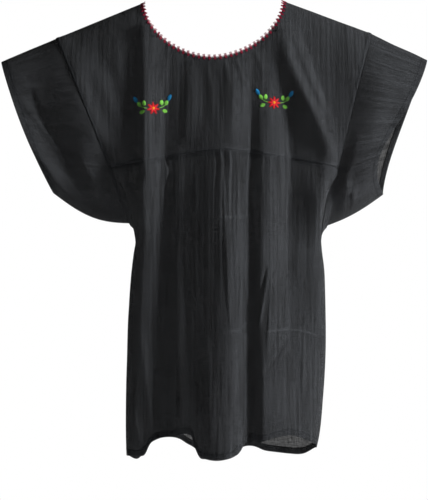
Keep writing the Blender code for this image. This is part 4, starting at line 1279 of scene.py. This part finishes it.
class BLOUSE_OT_edging(bpy.types.Operator):
    """Works the red cord and its fans of stitches round the neckline"""

    bl_idname = "blouse.edging"
    bl_label = "Neck Edging"

    def execute(self, context):
        settings, threads = context.scene.blouse_cloth, context.scene.blouse_thread
        lift = settings.thickness / 2 + threads.floss_width / 2
        halves = []
        for name in LAYERS:
            grid, outward = MADE[f"{name} neck"]
            normals = facing(grid, outward)
            normals[:, [0, -1], 1] = 0
            down = sampled(grid, grid, [EDGING_SPAN])[0] - grid[0]
            down /= np.linalg.norm(down, axis=-1, keepdims=True)
            out = normals[EDGING_ROW] / np.linalg.norm(normals[EDGING_ROW], axis=-1, keepdims=True)
            place = grid[0] + out * lift + down * EDGING_DROP[name]
            # The back half runs to the right and the front half back, each without its last point
            run = slice(0, -1) if name == "back" else slice(None, 0, -1)
            halves.append((place[run], down[run], out[run]))
        loop, down, out = (np.concatenate(parts) for parts in zip(*halves))
        sizes = {
            "Pitch": threads.tooth_pitch,
            "Reach": threads.tooth_reach,
            "Rise": threads.tooth_rise,
            "Half width": threads.tooth_half_width,
            "Thread radius": threads.floss_width * EDGING_THREAD_SHARE,
            "Cord radius": threads.cord_radius,
            "Finish": floss("red_pearl_cotton", threads.edging, spread=0.25, roughness=0.75),
        }
        mesh = line_mesh("neck", [loop], closed=True, down=[down], out=[out])
        obj = grown("neck_edging_threads", mesh, edging_tree, sizes)
        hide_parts("neck_edging")
        return {"FINISHED"}


def leaf_stitches(leaf, hand):
    """Satin stitches across one leaf, slanted towards its tip: each as points out, up and raised."""
    lean = math.radians(leaf.angle)
    count = round(leaf.length / STITCH_PITCH)
    across = np.linspace(-1, 1, STITCH_POINTS)
    rise = STITCH_BASE + LEAF_DOME * (1 - across**2)
    rows = []
    for i in range(count):
        along = (i + 0.5) / count * 2 - 1
        half = leaf.width / 2 * math.sqrt(1 - along**2) ** LEAF_POINT
        run = along * leaf.length / 2 * LEAF_SPAN + across * LEAF_SLANT
        out = leaf.out + run * math.cos(lean) - across * half * math.sin(lean)
        up = leaf.up + run * math.sin(lean) + across * half * math.cos(lean)
        rows.append((points(hand * out, up, rise), (along + 1) / 2))
    return rows


def petal_stitches(petals):
    """Satin stitches from the middle of a flower out to the rim of each petal."""
    count = petals * STITCHES_A_PETAL
    share = np.linspace(0, 1, STITCH_POINTS)
    dome = PETAL_DOME * np.sin(math.pi * share) ** PETAL_BLUNTNESS
    middle_shade, painted_petal_shade, step = PETAL_SHADE
    rows = []
    for i in range(count):
        angle = 2 * math.pi * i / count
        crest = math.cos(petals * angle)
        rim = FLOWER_RADIUS / MM * (1 - PETAL_DEPTH + PETAL_DEPTH * crest)
        radius = np.linspace(PETAL_START * rim, rim, STITCH_POINTS)
        rise = STITCH_BASE + dome * (1 - PETAL_GROOVE + PETAL_GROOVE * crest)
        line = points(radius * math.sin(angle), radius * math.cos(angle), rise)
        # The petal's roundness sets a painted shade: darker between two petals, lighter on each crest
        rows.append((line, middle_shade + painted_petal_shade * crest + step * (i % 2)))
    return rows


def knot_stitches():
    """The raised middle of a flower: one thread wound round and up."""
    share = np.linspace(0, 1, KNOT_POINTS)
    turn = 2 * math.pi * KNOT_TURNS * share
    radius = KNOT_RADIUS * (1 - share) + KNOT_HOLE
    return [(points(radius * np.cos(turn), radius * np.sin(turn), lerp(*KNOT_RISE, share)), KNOT_SHADE)]


def stem_stitches(hand):
    """A stem as two threads laid side by side."""
    line = np.array(STEM)
    fine = np.linspace(0, len(line) - 1, STEM_POINTS)
    out, up = (np.interp(fine, np.arange(len(line)), line[:, axis]) for axis in (0, 1))
    rows = []
    for shift in (-STEM_SPREAD, STEM_SPREAD):
        rows.append((points(hand * out, up + shift, STEM_RISE), STEM_SHADE))
    return rows


class BLOUSE_OT_sprigs(bpy.types.Operator):
    """Embroiders a flower with leaves and buds on each side of the back yoke"""

    bl_idname = "blouse.sprigs"
    bl_label = "Sprigs"

    def execute(self, context):
        threads = context.scene.blouse_thread
        cloth = BVHTree.FromObject(MADE["back"], context.evaluated_depsgraph_get())
        finishes = {
            "petals": floss("red_stranded_floss", threads.petal, spread=0.55),
            "middle": floss("yellow_stranded_floss", threads.centre),
            "leaves": floss("green_stranded_floss", threads.leaf, spread=0.5),
            "buds": floss("blue_stranded_floss", threads.bud, spread=0.6),
        }
        for side, spray in SPRIGS.items():
            tilt = math.radians(spray.tilt)
            turn = np.array([[math.cos(tilt), math.sin(tilt)], [-math.sin(tilt), math.cos(tilt)]])
            stitches = {part: [] for part in finishes}
            nodes = {part: [] for part in finishes}
            stitches["petals"] += petal_stitches(spray.petals)
            nodes["petals"].append(f"sprig_{side}_flower")
            stitches["middle"] += knot_stitches()
            for hand, word in ((-1, "a"), (1, "b")):
                stitches["leaves"] += stem_stitches(hand)
                nodes["leaves"].append(f"sprig_{side}_stem_{word}")
                for leaf in LEAVES:
                    part = "buds" if leaf.name == "bud" else "leaves"
                    stitches[part] += leaf_stitches(leaf, hand)
                    nodes[part].append(f"sprig_{side}_{leaf.name}_{word}")
            for part, rows in stitches.items():
                lines, shades = [], []
                for row, shade in rows:
                    line = []
                    for (x, z), rise in zip(row[:, :2] * MM @ turn + (spray.x, spray.z), row[:, 2] * MM):
                        place, normal, _, _ = cloth.ray_cast(Vector((x, -1, z)), Vector((0, 1, 0)))
                        line.append(place + normal * rise)
                    lines.append(line)
                    shades.append(np.full(len(line), shade))
                mesh = line_mesh(part, lines, shade=shades)
                sizes = {"Thread radius": threads.floss_width / 2, "Finish": finishes[part]}
                obj = grown(f"sprig_{side}_{part}", mesh, thread_tree, sizes)
                if nodes[part]:
                    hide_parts(*nodes[part])
        return {"FINISHED"}


class BLOUSE_OT_stage(bpy.types.Operator):
    """Lays a pale floor, sets soft lights round the blouse and stands the camera behind it"""

    bl_idname = "blouse.stage"
    bl_label = "Stage"

    def execute(self, context):
        settings = context.scene.blouse_stage
        scene = context.scene
        paper = bmesh.new()
        bmesh.ops.create_circle(paper, cap_ends=True, segments=96, radius=FLOOR_RADIUS)
        bmesh.ops.translate(paper, verts=paper.verts, vec=(0, 0, settings.floor_height))
        mesh = bpy.data.meshes.new("floor")
        paper.to_mesh(mesh)
        paper.free()
        place_piece("floor", mesh, painted_floor())

        world = bpy.data.worlds.new("studio")
        world.use_nodes = True
        tree = world.node_tree
        tree.nodes.clear()
        # The room is white to the eye and gives a dim light of its own
        seen = add_node(tree, "ShaderNodeLightPath").outputs["Is Camera Ray"]
        white = add_node(tree, "ShaderNodeBackground", Color=(1, 1, 1, 1), Strength=1.0).outputs["Background"]
        dim = add_node(tree, "ShaderNodeBackground", Color=(0.93, 0.96, 1, 1), Strength=0.03)
        mixed = add_node(tree, "ShaderNodeMixShader", n0=seen, n1=dim.outputs["Background"], n2=white)
        add_node(tree, "ShaderNodeOutputWorld", Surface=mixed.outputs["Shader"])
        scene.world = world

        for name, lamp in LAMPS.items():
            light = bpy.data.lights.new(name, "AREA")
            light.shape = "DISK"
            light.size = lamp.size
            light.energy = getattr(settings, lamp.power)
            light.color = lamp.colour
            obj = bpy.data.objects.new(name, light)
            obj.location = lamp.place
            aim = Vector(LAMP_TARGET) - Vector(lamp.place)
            obj.rotation_euler = aim.to_track_quat("-Z", "Y").to_euler()
            scene.collection.objects.link(obj)

        lens = bpy.data.cameras.new("camera")
        lens.lens = CAMERA_LENS
        camera = bpy.data.objects.new("camera", lens)
        camera.location = CAMERA_PLACE
        camera.rotation_euler = (math.radians(90), 0, 0)
        scene.collection.objects.link(camera)
        scene.camera = camera
        scene.view_settings.view_transform = "Standard"
        return {"FINISHED"}


STEPS = (
    BLOUSE_OT_yokes,
    BLOUSE_OT_skirts,
    BLOUSE_OT_sleeves,
    BLOUSE_OT_gussets,
    BLOUSE_OT_stitching,
    BLOUSE_OT_edging,
    BLOUSE_OT_sprigs,
    BLOUSE_OT_stage,
)
SETTINGS = {"blouse_cloth": ClothSettings, "blouse_thread": ThreadSettings, "blouse_stage": StageSettings}


class BLOUSE_PT_panel(bpy.types.Panel):
    """Sizes, colours and steps of the blouse"""

    bl_idname = "BLOUSE_PT_panel"
    bl_label = "Peasant Blouse"
    bl_space_type = "VIEW_3D"
    bl_region_type = "UI"
    bl_category = "Blouse"

    def draw(self, context):
        for name, group in SETTINGS.items():
            box = self.layout.box()
            for key in group.__annotations__:
                box.prop(getattr(context.scene, name), key)
        for step in STEPS:
            self.layout.operator(step.bl_idname)


def register():
    for made in (*SETTINGS.values(), *STEPS, BLOUSE_PT_panel):
        bpy.utils.register_class(made)
    for name, group in SETTINGS.items():
        setattr(bpy.types.Scene, name, PointerProperty(type=group))


def unregister():
    for name in SETTINGS:
        delattr(bpy.types.Scene, name)
    for made in (BLOUSE_PT_panel, *STEPS[::-1], *SETTINGS.values()):
        bpy.utils.unregister_class(made)


def main():
    register()
    bpy.ops.blouse.yokes()
    bpy.ops.blouse.skirts()
    bpy.ops.blouse.sleeves()
    bpy.ops.blouse.gussets()
    bpy.ops.blouse.stitching()
    bpy.ops.blouse.edging()
    bpy.ops.blouse.sprigs()
    bpy.ops.blouse.stage()


if __name__ == "__main__":
    main()
